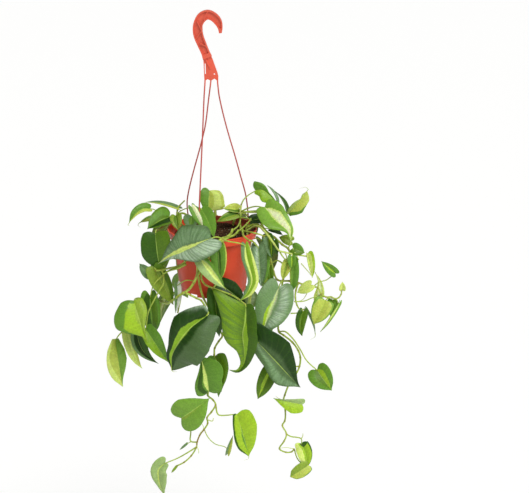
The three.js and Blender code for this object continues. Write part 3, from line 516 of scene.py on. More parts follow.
def stem_surface():
    """Yellow-green stalks, streaked lengthways, with reddish brown at their nodes. Young ones are paler."""
    surface = Surface("stem_green", IOR=1.45, Specular_IOR_Level=0.3)
    run, side, seed = surface.axes(surface.layer("blade").outputs["Vector"])
    streaks = surface.vector(surface.times(run, 0.05), surface.times(side, 2.5), seed)
    streak = surface.ramped(surface.grain(1.0, 3.0, streaks), 0.35, 0.65)
    colour = surface.blended(streak, linear(138, 162, 50), linear(178, 198, 80))
    fleck = surface.patches(700, 0.58, 0.66, 0.0, 0.5, 2.0)
    colour = surface.blended(fleck, colour, linear(190, 205, 120))
    rust = surface.times(surface.layer("rust").outputs["Fac"], surface.patches(500, 0.3, 0.6))
    colour = surface.blended(rust, colour, linear(128, 72, 38))
    colour = surface.blended(surface.layer("young").outputs["Fac"], colour, linear(196, 210, 118))
    surface.scatter(0.2, 0.001, 0.0016, 0.0005)
    return surface.set(
        Base_Color=colour,
        Roughness=surface.ramped(streak, 0.0, 1.0, 0.36, 0.52),
        Normal=surface.raised(streak, 0.0003, 0.4),
    )


def painted_shade_share(surface):
    """How much painted shade darkens the pot: where it faces its axis, on the ledge under its rim and at its
    foot's left.
    """
    here = surface.here()
    normal = surface.node("NewGeometry").outputs["Normal"]
    centred = surface.vectored("SUBTRACT", here, (POT_AXIS_X * MM, 0, 0))
    outward = surface.vectored("NORMALIZE", surface.vectored("MULTIPLY", centred, (1, 1, 0)))
    facing = surface.vectored("DOT_PRODUCT", outward, normal, output="Value")
    # Painted shade on the inside wall, where it faces the axis, and on the ledge under the rim
    inward = surface.ramped(facing, -0.75, -0.3, 0.9, 0.0)
    height = surface.axes(here)[2]
    under_rim = surface.ramped(height, (RIM_Z - 4) * MM, (RIM_Z - 2) * MM, 1.0, 0.0)
    over_body = surface.ramped(height, (RIM_Z - 20) * MM, (RIM_Z - 16) * MM)
    upward = surface.ramped(surface.axes(normal)[2], 0.5, 0.8, 0.0, 0.9)
    ledge = surface.times(upward, surface.times(under_rim, over_body))
    right = surface.ramped(surface.axes(here)[0], -0.045, -0.02)
    shadowed = surface.times(right, surface.maths("MAXIMUM", inward, ledge))
    # Painted shade, in patches, low on the pot's left side, which the leaves above keep in shade
    leftward = surface.ramped(surface.axes(normal)[0], -0.97, -0.78, 0.7, 0.0)
    low = surface.ramped(height, (RIM_Z - 92) * MM, (RIM_Z - 66) * MM, 1.0, 0.0)
    low_left_shade = surface.times(low, surface.patches(55, 0.35, 0.6, 0.35, 1.0))
    painted_shade_mask = surface.maths("MAXIMUM", shadowed, surface.times(leftward, low_left_shade))
    return surface.times(painted_shade_mask, surface.patches(70, 0.2, 0.7, 0.75, 1.0))


def plastic_surface(name, body, worn, roughness, scale, painted_shade=None, deep=None):
    """Injection-moulded plastic with a faint orange peel, flow marks and dusty scuffs.

    The painted shade is for the pot, and the deep colour for the thin strands below the hanger's plate.
    """
    surface = Surface(name, IOR=1.5, Specular_IOR_Level=0.3)
    flow = surface.patches(22 * scale, 0.3, 0.7)
    colour = surface.blended(flow, body, tuple(channel * 0.86 for channel in body))
    dust = surface.times(
        surface.patches(620 * scale, 0.62, 0.72, 0.0, 0.32), surface.patches(30, 0.45, 0.62, detail=2.0)
    )
    colour = surface.blended(dust, colour, worn)
    if painted_shade:
        colour = surface.blended(painted_shade_share(surface), colour, painted_shade)
    if deep:
        below_plate = surface.ramped(surface.axes(surface.here())[2], -0.125, -0.095, 1.0, 0.0)
        colour = surface.blended(below_plate, colour, deep)
    surface.scatter(0.12, 0.002, 0.0007, 0.0004)
    return surface.set(
        Base_Color=colour,
        Roughness=surface.patches(90, 0.3, 0.7, roughness - 0.05, roughness + 0.1, 4.0),
        Normal=surface.raised(surface.grain(1300, 2.0), 0.00012, 0.5),
    )


def soil_surface(name, dark, pale):
    surface = Surface(name, IOR=1.35, Specular_IOR_Level=0.25)
    crumb = surface.ramped(surface.grain(520, 5.0, roughness=0.7), 0.35, 0.68)
    return surface.set(
        Base_Color=surface.blended(crumb, dark, pale),
        Roughness=0.92,
        Normal=surface.raised(surface.grain(800, 5.0, roughness=0.7), 0.0012, 0.9),
    )


FOLIAGE = [
    blade_surface("leaf_upper", paleness=0.0, roughness=0.36, gloss=0.3),
    blade_surface("leaf_under", paleness=0.4, roughness=0.6, gloss=0.2),
    stem_surface(),
]
# The pot's darker colour is painted shade, laid inside it, under its rim and low on its left
POT_PLASTIC = plastic_surface(
    "pot_plastic", body=linear(220, 74, 38), worn=linear(224, 168, 142), roughness=0.42, scale=1.0,
    painted_shade=linear(88, 46, 30),
)
HANGER_PLASTIC = plastic_surface(
    "hanger_plastic", body=linear(222, 96, 72), worn=linear(244, 176, 152), roughness=0.4, scale=1.6,
    deep=linear(176, 70, 60),
)
SOIL_FINISHES = [
    soil_surface("peat", linear(44, 28, 17), linear(92, 64, 42)),
    soil_surface("pale_specks", linear(160, 160, 120), linear(225, 225, 200)),
    soil_surface("peat_fibre", linear(84, 56, 36), linear(130, 94, 62)),
]


# Pot

def notch_edges():
    half = NOTCH_WIDTH / 2 / FOOT_RADIUS
    first = math.radians(NOTCH_AZIMUTH)
    centres = [first + notch * FULL_TURN / FOOT_NOTCHES for notch in range(FOOT_NOTCHES)]
    return [(centre - half, centre + half) for centre in centres]


def make_pot():
    inside = FOOT_RADIUS - WALL
    floor_under = -POT_HEIGHT + FLOOR_LIFT
    collar_inside = COLLAR_FOOT_RADIUS - WALL
    profile = eased([
        (0, floor_under), (inside - 5, floor_under), (inside - 0.6, floor_under), (inside - 0.6, -POT_HEIGHT),
        (FOOT_RADIUS, -POT_HEIGHT), (FOOT_RADIUS + 0.9, -POT_HEIGHT + 9),
        (FOOT_RADIUS + 1.7, -POT_HEIGHT + 10.5), (SHOULDER_RADIUS, -SHOULDER_DEPTH - 1),
        (collar_inside, -SHOULDER_DEPTH), (collar_inside, -COLLAR_HEIGHT),
        (COLLAR_FOOT_RADIUS, -COLLAR_HEIGHT), (RIM_RADIUS - 1, -2.6), (RIM_RADIUS, -2.2), (RIM_RADIUS, 0),
        (RIM_RADIUS - WALL, 0), (collar_inside, -SHOULDER_DEPTH + WALL),
        (SHOULDER_RADIUS - WALL, -SHOULDER_DEPTH + WALL - 1),
        (inside, floor_under + FLOOR_THICKNESS), (0, floor_under + FLOOR_THICKNESS),
    ], 0.5)
    notches = notch_edges()
    turns = {round(column * FULL_TURN / POT_COLUMNS, 6) for column in range(POT_COLUMNS)}
    for low, high in notches:
        turns.update(round(edge % FULL_TURN, 6) for edge in (low - 0.001, low, high, high + 0.001))

    def lift(turn, radius, height):
        spots = (turn, turn + FULL_TURN)
        notched = any(low - 1e-5 <= spot <= high + 1e-5 for low, high in notches for spot in spots)
        top = -POT_HEIGHT + NOTCH_HEIGHT
        return top - height if notched and radius > inside - 5.1 and height < top else 0

    pot = solid(turned(profile, sorted(turns), lift))
    for azimuth in STRAND_AZIMUTHS.values():
        combine(pot, block(LUG, on_rim(azimuth, EYE_RADIUS + 0.4, 2.9), azimuth), "UNION")
        combine(pot, block(LUG_SLOT, on_rim(azimuth, EYE_RADIUS, 6), azimuth), "DIFFERENCE")
    soften(pot, POT_EDGE, 2)
    dress(pot, "pot_shell", POT_PLASTIC, "pot_plastic", "pot")


make_pot()


# Soil

def soil_height(x, y):
    """Height of the soil above its edge at a place measured from the pot's axis, without its crumbs."""
    out = min(1, math.hypot(x, y) / SOIL_RADIUS)
    crown = SOIL_CROWN * (1 - out**2.4) ** 0.8
    swell = 0.9 * (math.sin(x * 0.31 + 1.3) * math.cos(y * 0.27) + 0.6 * math.sin(x * 0.13 - y * 0.41))
    return crown + (swell + SOIL_TILT * y) * min(1, 6 * (1 - out))


# Rough lumps on the soil, as crumbs of peat, pale specks and fibres: how many, from which size to which and
# how much longer one way. A lump's rings are given by reach and height.
LUMPS = [(1500, 0.5, 1.7, 1.3), (170, 0.35, 0.8, 1.0), (110, 0.4, 0.8, 3.2)]
LUMP_RINGS = [(0.42, 0.9), (0.87, 0.5), (1.0, 0.0), (0.87, -0.5), (0.42, -0.9)]
LUMP_SIDES = 6


def lump(place, size, rng, stretch):
    turn = Matrix.Rotation(rng.uniform(0, math.pi), 3, Vector([rng.uniform(-1, 1) for _ in range(3)]))
    spots = []
    for reach, height in LUMP_RINGS:
        for side in range(LUMP_SIDES):
            angle = side * FULL_TURN / LUMP_SIDES
            rough = size * rng.uniform(0.72, 1.18)
            spots.append(rough * point(reach * math.cos(angle) * stretch, reach * math.sin(angle), height))
    spots.extend([point(0, 0, size), point(0, 0, -size)])
    return [turn @ spot + place for spot in spots], ringed(len(LUMP_RINGS), LUMP_SIDES)


def make_soil():
    rng = random.Random("soil")
    shape = Shape()
    edge = RIM_Z - SOIL_EDGE_DEPTH
    bottom = RIM_Z - POT_HEIGHT + FLOOR_LIFT + FLOOR_THICKNESS + SOIL_CLEARANCE
    turns = [FULL_TURN * column / SOIL_COLUMNS for column in range(SOIL_COLUMNS)]
    points = []
    for ring in range(1, SOIL_RINGS + 1):
        radius = SOIL_RADIUS * ring / SOIL_RINGS
        for turn in turns:
            x, y = radius * math.cos(turn), radius * math.sin(turn)
            crumbs = 1.1 * noise.noise(Vector((x, y, 3)) * 0.32) + 0.8 * noise.noise(Vector((x, y, 8)) * 0.9)
            rise = soil_height(x, y) + crumbs * min(1, 8 * (1 - ring / SOIL_RINGS) + 0.2)
            points.append((POT_AXIS_X + x, y, edge + rise))
    radius = FOOT_RADIUS - WALL - 2 * SOIL_CLEARANCE
    points.extend((POT_AXIS_X + radius * math.cos(turn), radius * math.sin(turn), bottom) for turn in turns)
    points.extend([(POT_AXIS_X, 0, edge + soil_height(0, 0)), (POT_AXIS_X, 0, bottom)])
    shape.add(points, ringed(SOIL_RINGS + 1, SOIL_COLUMNS))
    for finish, (count, low, high, stretch) in enumerate(LUMPS):
        for _ in range(count):
            radius = (SOIL_RADIUS - 2.5) * math.sqrt(rng.random())
            turn = rng.uniform(0, FULL_TURN)
            x, y = radius * math.cos(turn), radius * math.sin(turn)
            size = rng.uniform(low, high)
            place = point(POT_AXIS_X + x, y, edge + soil_height(x, y) + size * 0.35)
            shape.add(*lump(place, size, rng, stretch), finish)
    piece = shape.build("soil_fill", SOIL_FINISHES)
    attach(piece, "root")
    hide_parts("soil")


make_soil()


# Hanger. The spine gives the middle of the hook's channel and its full width, from the tip to the plate.

HOOK_SPINE = [
    (12.8, 336, 4.5), (12.2, 345, 8), (8.5, 355, 12.5), (1, 363.2, 14), (-9, 367, 15), (-18.5, 362.7, 16),
    (-25, 352, 15.6), (-26, 341.5, 16), (-24.3, 330.5, 15.5), (-19, 317, 14.5), (-13, 303, 13.6),
    (-9.5, 294, 15.5),
]
HOOK_RIBS = [
    ((-7, 378), (-15, 358)), ((-27, 356), (-19, 340)), ((-19, 340), (-29, 326)), ((-22, 318), (-6, 312)),
]
PLATE_OUTLINE = [
    (-17.2, 299), (-16, 285), (-14.6, 255.5), (-12.4, 255.5), (-9, 257.4), (-5, 255.5), (-2.2, 255.5),
    (2.5, 258.4), (6.4, 255.5), (9, 255.5), (9.3, 262), (7.5, 269), (4.6, 277), (0, 290), (-3.5, 298),
]
# A raised bar over the plate and a slot through it, each from one place to another and how wide, and a hole
PLATE_RIDGE = ((-17, 300), (-4, 275), 1.8)
PLATE_RIDGE_DEPTH = 6
PLATE_SLOT = ((-12.9, 266), (-13.4, 284), 1.6)
PLATE_HOLE = (2.5, 266, 1.25)
THROUGH = 20
# Each strand's places from the plate down to the collar, as seen
STRAND_ROUTES = {
    "strand_front": [(-13.4, 255, 0), (-15.2, 225, 8), (-17.5, 168.5, 24), (-22.8, 52, 54), (-25.4, -6, 68)],
    "strand_left": [(-3.6, 255, 0), (-7.2, 225, -7), (-13, 179, -17), (-19.4, 151, -24), (-43.7, 52, -48)],
    "strand_right": [
        (7.7, 255, 0), (10.2, 231, -3), (15.3, 206.5, -7), (21.4, 182, -11), (29.2, 154.5, -16),
        (37, 128.5, -20), (46.6, 93.8, -26), (56.1, 58.3, -31),
    ],
}


def flat(right, up):
    place = seen(right, up, 0)
    return np.array([place.x, place.z])


def channel_outline(inset, first, last):
    """The hook's outline between two shares of its spine, drawn in by the inset."""
    spine = smooth([(*flat(right, up), width) for right, up, width in HOOK_SPINE], 12)
    ahead = np.gradient(spine[:, :2], axis=0)
    ahead /= np.linalg.norm(ahead, axis=1, keepdims=True)
    across = np.stack([-ahead[:, 1], ahead[:, 0]], axis=1)
    reach = spine[:, 2:] / 2 - inset
    run = slice(round(first * (len(spine) - 1)), round(last * (len(spine) - 1)) + 1)
    near = spine[run, :2] + across[run] * reach[run]
    far = spine[run, :2] - across[run] * reach[run]
    return [*near, *far[::-1]]


def bar(start, end, width):
    start, end = flat(*start), flat(*end)
    ahead = (end - start) / np.linalg.norm(end - start)
    across = np.array([-ahead[1], ahead[0]]) * width / 2
    return [start + across, start - across, end - across, end + across]


def disc(right, up, radius):
    centre = flat(right, up)
    turns = np.arange(20) * FULL_TURN / 20
    return [centre + radius * np.array([math.cos(turn), math.sin(turn)]) for turn in turns]


def make_strand(name, azimuth):
    """Points and faces of a strand from inside the plate to its clip in the collar."""
    route = [seen(*place) for place in STRAND_ROUTES[name]]
    clip = [on_rim(azimuth, EYE_RADIUS, depth) for depth in (-1, 3)]
    path = smooth([route[0] + point(0, 0, 2.2), *route, *clip], 14)
    return tube(path, STRAND_RADIUS * (1 + 0.12 * np.exp(-run_along(path) / 6)), 14)


def make_hanger():
    hanger = solid(slab(channel_outline(0, 0, 1), HOOK_DEPTH))
    pocket_depth = (HOOK_DEPTH - HOOK_WEB) / 2
    for side in (-1, 1):
        middle = side * (HOOK_DEPTH / 2 - pocket_depth / 2 + 0.5)
        pocket = solid(slab(channel_outline(HOOK_FLANGE, 0.08, 0.93), pocket_depth + 1, middle))
        for start, end in HOOK_RIBS:
            combine(pocket, slab(bar(start, end, HOOK_RIB), HOOK_DEPTH + 4), "DIFFERENCE")
        combine(hanger, pocket, "DIFFERENCE")
    plate = [flat(right, up) for right, up in PLATE_OUTLINE]
    combine(hanger, slab(plate, PLATE_THICKNESS), "UNION")
    combine(hanger, slab(bar(*PLATE_RIDGE), PLATE_RIDGE_DEPTH), "UNION")
    for hole in (bar(*PLATE_SLOT), disc(*PLATE_HOLE)):
        combine(hanger, slab(hole, THROUGH), "DIFFERENCE")
    soften(hanger, 0.35, 2)
    for name, azimuth in STRAND_AZIMUTHS.items():
        combine(hanger, make_strand(name, azimuth), "UNION")
        tongue = solid(block(TONGUE, on_rim(azimuth, EYE_RADIUS, 2), azimuth))
        combine(tongue, block(BARB, on_rim(azimuth, EYE_RADIUS, 5.8), azimuth), "UNION")
        soften(tongue, 0.4, 2)
        combine(hanger, tongue, "UNION")
    for polygon in hanger.data.polygons:
        polygon.use_smooth = True
    hanger.modifiers.new("normals", "WEIGHTED_NORMAL")
    settle(hanger)
    dress(hanger, "hanger_moulding", HANGER_PLASTIC, "hanger_plastic", "hanger_hook", *STRAND_AZIMUTHS)


make_hanger()


# Leaves

TONES = {
    "deep": (26, 60, 2),
    "slate": (74, 100, 56),
    "shade": (58, 92, 6),
    "dark": (52, 90, 10),
    "moss": (84, 120, 16),
    "mid": (94, 138, 40),
    "fresh": (114, 156, 50),
    "leafy": (128, 166, 34),
    "olive": (130, 156, 50),
    "lime": (150, 184, 36),
    "spring": (146, 174, 56),
    "glow": (112, 148, 18),
    "soft": (152, 174, 86),
    "yellow": (174, 188, 78),
    "pale": (198, 214, 112),
    "cream": (232, 238, 190),
    "white": (212, 218, 202),
    # The silver and sheen tones are painted reflections: the glossy leaves' highlights laid into their colour
    "painted_silver_reflection": (162, 184, 152),
    "painted_soft_reflection": (112, 142, 98),
    "sage": (146, 172, 104),
    "grey": (104, 136, 84),
}
# How far a zone of these tones fades into the next at its edges, as a share of the half width
FADES = {
    "glow": 0.4, "painted_silver_reflection": 0.16, "painted_soft_reflection": 0.16, "slate": 0.14, "cream": 0.12, "grey": 0.1, "sage": 0.1,
    "deep": 0.09,
}
COMMON_FADE = 0.035
# A half outline runs from the notch at the leaf stalk round the lobe to the drip tip, as shares of the half
# width and of the length
HALF_BLADE = [
    (0, 0), (0.38, -0.12), (0.76, -0.08), (0.97, 0.1), (0.97, 0.33), (0.8, 0.57), (0.5, 0.77), (0.17, 0.91),
    (0, 1),
]
# Two halves of the torn and folded leaf under the pot's right side
TORN_HALF = [
    (0, 0), (0.76, -0.1), (1.62, -0.21), (1.36, 0.02), (1.16, 0.27), (0.84, 0.45), (0.38, 0.6), (0.16, 0.76),
    (0.07, 0.9), (0, 1),
]
NARROW_HALF = [
    (0, 0), (0.3, -0.01), (0.48, 0.08), (0.64, 0.25), (0.76, 0.42), (0.66, 0.55), (0.44, 0.68), (0.22, 0.79),
    (0.08, 0.9), (0, 1),
]
BLADE_ROWS = 30
ROW_PACE = 1.25
SWEEP = 1.35
NEARBY = 0.02
# Shares of the half width at which a blade's columns stand, close together by the midrib and the margin
COLUMNS = [0, 0.03, 0.08, 0.17, 0.3, 0.45, 0.6, 0.75, 0.88, 0.96, 1]


def half_outline(half, shares):
    """A half outline at each share of its run: how far across, and how far along."""
    listed = np.array([half[0], *half, half[-1]], float)
    spot = np.clip(np.asarray(shares), 0, 1 - 1e-9) * (len(half) - 1)
    index = spot.astype(int)
    t = (spot - index)[:, None]
    a, b, c, d = (listed[index + step] for step in range(4))
    return hermite(t, b, (c - a) / 2, c, (d - b) / 2)


def gradual(value, share):
    """A number that may change along a leaf, given as evenly spaced values from its base to its tip."""
    values = value if isinstance(value, tuple) else (value, value)
    return np.interp(share, np.linspace(0, 1, len(values)), values)


def paint(tone, *zones):
    """A leaf's ground tone and up to three zones over it, each from one share across to another and its tone.

    Across runs from -1 at one margin to 1 at the margin on the left of a leaf that hangs facing the viewer.
    """
    return tone, [*zones, *[(9, 9, tone)] * (3 - len(zones))]


def painted(tones, shares):
    """The vertex layers for a paint at places with the given shares along the leaf."""
    tone, zones = tones
    layers = {
        "tone": (*linear(*TONES[tone]), 1),
        "zone_from": np.stack([gradual(low, shares) for low, _, _ in zones], axis=1),
        "zone_to": np.stack([gradual(high, shares) for _, high, _ in zones], axis=1),
    }
    for layer, (_, _, name) in zip(ZONE_LAYERS, zones):
        layers[layer] = (*linear(*TONES[name]), FADES.get(name, COMMON_FADE))
    return layers


def midrib(base, tip, looks, arch, bend, rib):
    """A function from shares of a leaf's length to places on its midrib."""
    along = np.array(tip - base)
    length = np.linalg.norm(along)
    along /= length
    leftward = np.cross(along, looks)
    start = np.array(base)
    if not rib:
        def swept(share):
            share = np.asarray(share, float)
            swell = 4 * share * (1 - np.maximum(share, 0))
            return (start + np.multiply.outer(length * share, along)
                    + np.multiply.outer(arch * length * swell, looks)
                    + np.multiply.outer(bend * length * np.maximum(swell, 0), leftward))
        return swept
    route = smooth([base, *all_placed(rib), tip], 12)
    runs = run_along(route)
    first = (route[1] - route[0]) / runs[1]

    def routed(share):
        share = np.asarray(share, float)
        run = share * runs[-1]
        place = np.stack([np.interp(run, runs, route[:, axis]) for axis in range(3)], axis=-1)
        return place + np.multiply.outer(np.minimum(run, 0), first)

    return routed


def blade(shape, base, tip, half, tones, rng, face=(0, 0.3, 1), fold=18, arch=0.08, bend=0, sides=(1, 1),
          lobe=1.0, rib=None, halves=(HALF_BLADE, HALF_BLADE)):
    """Adds a blade from its base to its tip, and returns a function for places along its midrib.

    face is the way that its upper side looks, as (right, up, out). fold lifts both halves towards it, in
    degrees. arch lifts the middle of the midrib towards it and bend moves it sideways, as shares of the
    length, or rib lists places that the midrib runs through. halves gives each half's outline, sides scales
    its width and lobe the backward reach of its lobe.
    """
    straight = tip - base
    looks = Vector((face[0], -face[2], face[1]))
    looks -= straight * looks.dot(straight) / straight.length_squared
    looks = np.array(looks.normalized())
    crest = midrib(base, tip, looks, arch, bend, rib)
    lift = math.radians(fold)
    rows = np.linspace(0, 1, BLADE_ROWS + 1)[1:-1]
    outlines = [half_outline(listed, rows) for listed in halves]
    spine = rows**ROW_PACE
    lobes = lobe if isinstance(lobe, tuple) else (lobe, lobe)
    bulge = rng.uniform(0.09, 0.16) * half
    ripple = rng.uniform(0.015, 0.045) * half
    twist = rng.uniform(-0.06, 0.06) * half
    phase = [rng.uniform(0, FULL_TURN) for _ in range(2)]
    waves = rng.uniform(1.6, 2.8)
    fullness = min(1, half / FULL_HALF)
    signed = [(-1, share) for share in reversed(COLUMNS[1:])] + [(1, share) for share in COLUMNS]
    grid = np.zeros((len(rows), len(signed), 3))
    for column, (side, share) in enumerate(signed):
        index = 0 if side > 0 else 1
        wide, edge = outlines[index].T
        edge = np.where(edge < 0, edge * lobes[index], edge)
        reach = wide * half * gradual(sides[index], np.clip(edge, 0, 1)) * share
        down = spine + (edge - spine) * share**SWEEP
        height = reach * math.sin(lift) + bulge * wide * math.sin(math.pi * share) * share**0.3
        rippling = np.sin(FULL_TURN * waves * rows + phase[index])
        height += ripple * share**2 * rippling * np.sin(math.pi * rows)
        height += side * twist * share * (rows - 0.4)
        veining = np.cos(FULL_TURN * VEIN_PAIRS * rows)
        height -= VEIN_DEPTH * veining * share * (1 - share) * 4 * fullness
        here = crest(down)
        ahead = crest(down + NEARBY) - crest(down - NEARBY)
        ahead /= np.linalg.norm(ahead, axis=1, keepdims=True)
        leftward = np.cross(ahead, looks)
        leftward /= np.linalg.norm(leftward, axis=1, keepdims=True)
        upward = np.cross(leftward, ahead)
        aside = side * reach * math.cos(lift)
        grid[:, column] = here + leftward * aside[:, None] + upward * height[:, None]
    normals = np.cross(np.gradient(grid, axis=1), np.gradient(grid, axis=0))
    normals /= np.linalg.norm(normals, axis=2, keepdims=True) + 1e-9
    normals *= np.sign((normals @ looks).mean())
    thickness = np.array([BLADE_THICKNESS * (0.35 + 0.65 * (1 - share**4)) for _, share in signed])
    ridge = np.array([math.exp(-((share * half / MIDRIB_REACH) ** 2)) for _, share in signed])
    depth = thickness + MIDRIB_DEPTH * fullness * ridge * np.sin(math.pi * rows**0.6)[:, None]
    top = grid + normals * BLADE_THICKNESS * 0.3
    bottom = grid - normals * depth[:, :, None]
    count = len(signed)
    across = np.array([side * share for side, share in signed])
    seed = rng.uniform(0, 100)
    ends = [crest(0.0) + looks * 0.1, crest(1.0), crest(0.0) - looks * 0.5]
    per_sheet = len(rows) * count
    level = np.stack([np.tile(across, len(rows)), np.repeat(rows, count), np.full(per_sheet, seed)], axis=1)
    places = np.concatenate([level, level, [(0, 0, seed), (0, 1, seed), (0, 0, seed)]])
    base_top, tip_both, base_bottom = range(2 * per_sheet, 2 * per_sheet + 3)
    faces = []
    finish = []

    def put(corners, sheet):
        faces.append(corners)
        finish.append(sheet)

    last = per_sheet - count
    for sheet in (0, 1):
        offset = sheet * per_sheet
        near = base_bottom if sheet else base_top
        for column in range(offset, offset + count - 1):
            put((near, column, column + 1), sheet)
            put((tip_both, last + column + 1, last + column), sheet)
            for a in range(column, column + last, count):
                put((a, a + count, a + count + 1, a + 1), sheet)
    for column in (0, count - 1):
        for a in range(column, column + last, count):
            put((a, a + count, a + count + per_sheet, a + per_sheet), 1)
        put((base_top, column, column + per_sheet), 1)
        put((base_top, column + per_sheet, base_bottom), 1)
        put((tip_both, last + column + per_sheet, last + column), 1)
    points = [*top.reshape(-1, 3), *bottom.reshape(-1, 3), *ends]
    shape.add(points, faces, finish, blade=places, **painted(tones, places[:, 1]))
    return crest


def stalk(shape, path, radii, sides, rust=None, young=0):
    """Adds a stem or leaf stalk along a sampled path. The blade layer then holds its run, side and seed."""
    points, faces = tube(path, radii, sides)
    runs = run_along(path)
    places = [(run, side / sides, 3.0) for run in runs for side in range(sides)]
    places.extend([(0, 0, 3.0), (runs[-1], 0, 3.0)])
    rusty = np.zeros(len(points)) if rust is None else np.append(np.repeat(rust, sides), [0, 0])
    shape.add(points, faces, 2, blade=np.array(places), rust=rusty, young=young)


# Leafy stems

def leaf(stem, node, base, tip, half, tones, way=None, drip=None, girth=1, **form):
    """A leaf on a stalk that leaves its stem at the listed place, the node, and runs the way to its base."""
    return stem, node, placed(base), placed(tip), half, tones, way, drip, girth, form


def swollen(places, radius):
    """Radii and rust along a sampled stem: it tapers to its end and swells at each listed place."""
    count = (places - 1) * SAMPLES + 1
    share = np.arange(count) / (count - 1)
    phase = (np.arange(count) % SAMPLES) / SAMPLES
    near = np.maximum(0, 1 - np.minimum(phase, 1 - phase) * NODE_SHARPNESS) ** 2
    return radius * (1 + (STEM_TAPER - 1) * share) * (1 + NODE_SWELLING * near), near


def grow(name, root, stems, leaves, stout=1, young=0, rusty=None, threads=()):
    """One leafy stem as one piece, in place of its plain solid.

    The first stem starts at the root in the soil and any other at a listed place of the first. stout scales
    their radius, young makes them paler, and rusty is the run of listed places that are brown. A thread is a
    fine side stem or aerial root, with its radius and how pale it is.
    """
    rng = random.Random(name)
    shape = Shape(
        blade="FLOAT_VECTOR", zone_from="FLOAT_VECTOR", zone_to="FLOAT_VECTOR", rust="FLOAT", young="FLOAT",
        tone="FLOAT_COLOR", **dict.fromkeys(ZONE_LAYERS, "FLOAT_COLOR"),
    )
    lines = [all_placed(stems[0])]
    lines.extend([lines[0][node], *all_placed(rest)] for node, *rest in stems[1:])
    rooting = [rooted(*root, -ROOT_DEPTH), rooted(*root, ROOT_RISE)]
    for index, line in enumerate(lines):
        listed = line if index else [*rooting, *line]
        radii, rust = swollen(len(listed), (BRANCH_RADIUS if index else STEM_RADIUS) * stout)
        if rusty and index == 0:
            first, last = ((place + len(rooting)) * SAMPLES for place in rusty)
            rust[first:last] = 1.2
        stalk(shape, smooth(listed, SAMPLES), radii, STEM_SIDES, rust * rng.uniform(0.5, 0.9), young)
    for radius, pallor, *line in threads:
        path = smooth(all_placed(line), SAMPLES)
        stalk(shape, path, radius * np.linspace(1.1, 0.6, len(path)), THREAD_SIDES, None, pallor)
    for stem, node, base, tip, half, tones, way, drip, girth, form in leaves:
        foot = lines[stem][node]
        crest = blade(shape, base, tip, half, tones, rng, **form)
        way = way or [(foot + base) / 2 + point(0, 0, STALK_BOW * (foot - base).length)]
        path = smooth([foot, *all_placed(way), crest(0.03)], SAMPLES)
        share = np.linspace(0, 1, len(path))
        radii = STALK_RADIUS * girth * min(1.0, 0.55 + half / 40) * (1.12 - 0.32 * share)
        stalk(shape, path, radii, STALK_SIDES, 0.8 * np.maximum(0, 1 - share * 9), young)
        if drip:
            curl = smooth([crest(0.94), crest(1.0), *all_placed(drip)], SAMPLES)
            stalk(shape, curl, DRIP_RADIUS * np.linspace(1.1, 0.1, len(curl)), THREAD_SIDES)
    piece = shape.build("foliage_" + name, FOLIAGE)
    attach(piece, "root")
    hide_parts("vine_" + name)


# The stems that the photograph shows, leaf by leaf: the stem and node of each, its base and tip, its half
# width and its tones

grow("left_top", (-50, 14), [
    [(-51, 7, -14), (-55, 13, -19), (-62, 22, -22), (-70, 21.5, -23), (-78, 15, -18), (-88, 5, -4),
     (-96, 1, 16)],
    [2, (-61, 30, -26), (-60, 37, -30), (-56, 43, -32), (-48, 51, -32)],
], [
    leaf(0, 2, (-107, 37, -12), (-143, 12, 8), 10, paint("mid", (-1.1, -0.02, "yellow")),
         face=(-0.2, 0.4, 0.9), fold=12, rib=[(-118, 37, -4), (-130, 30, 2), (-138, 20, 6)], lobe=0.5,
         sides=((1.0, 1.05, 1.1, 1.0), (0.7, 0.65, 0.5, 0.4)),
         way=[(-82, 21, -30), (-93, 31, -22), (-101, 36, -16)], drip=[(-144.5, 9, 9), (-141.5, 8, 9)]),
    leaf(1, 1, (-60, 38, -32), (-116, 48, -44), 10, paint("grey", (-1.1, 0, "yellow")), face=(0, 1, 0.1),
         fold=8, arch=0.06),
    # Painted shade: this leaf's deep zone is the shade along one half of its fold
    leaf(0, 3, (-74, 23, -14), (-112, 2, 18), 21, paint("moss", (-0.75, -0.15, "deep"), (0.25, 0.8, "mid")),
         face=(-0.1, 0.62, 0.75), fold=24, arch=0.1),
    leaf(0, 4, (-94, 21, -36), (-125, 13, -30), 7, paint("yellow", (0.3, 1.1, "fresh")),
         face=(-0.2, 0.8, 0.5), fold=14, drip=[(-127.5, 9, -29), (-123, 5, -28)]),
    leaf(0, 6, (-98, -5, 30), (-90, -66, 32), 27, paint("dark", (-1.1, 0, "moss")), face=(-0.15, 0.2, 1),
         fold=12, arch=0.06, lobe=0.5, sides=((0.9, 1.0, 1.25, 1.6), (1, 1, 1.1, 1.2))),
    leaf(0, 1, (-63, 25, -4), (-59, 0, 14), 11, paint("olive", (-0.3, 0.4, "moss")), face=(-0.1, 0.5, 0.85),
         fold=16),
    leaf(0, 2, (-36, 40, 66), (-17, 4, 72), 9, paint("mid", (-0.85, 0.02, "cream")), face=(0.1, 0.3, 0.95),
         fold=16, arch=0.06, sides=((0.75, 0.8, 0.9, 0.8), (0.8, 0.85, 1.0, 1.2)),
         way=[(-59, 30, 0), (-47, 37, 36)]),
])
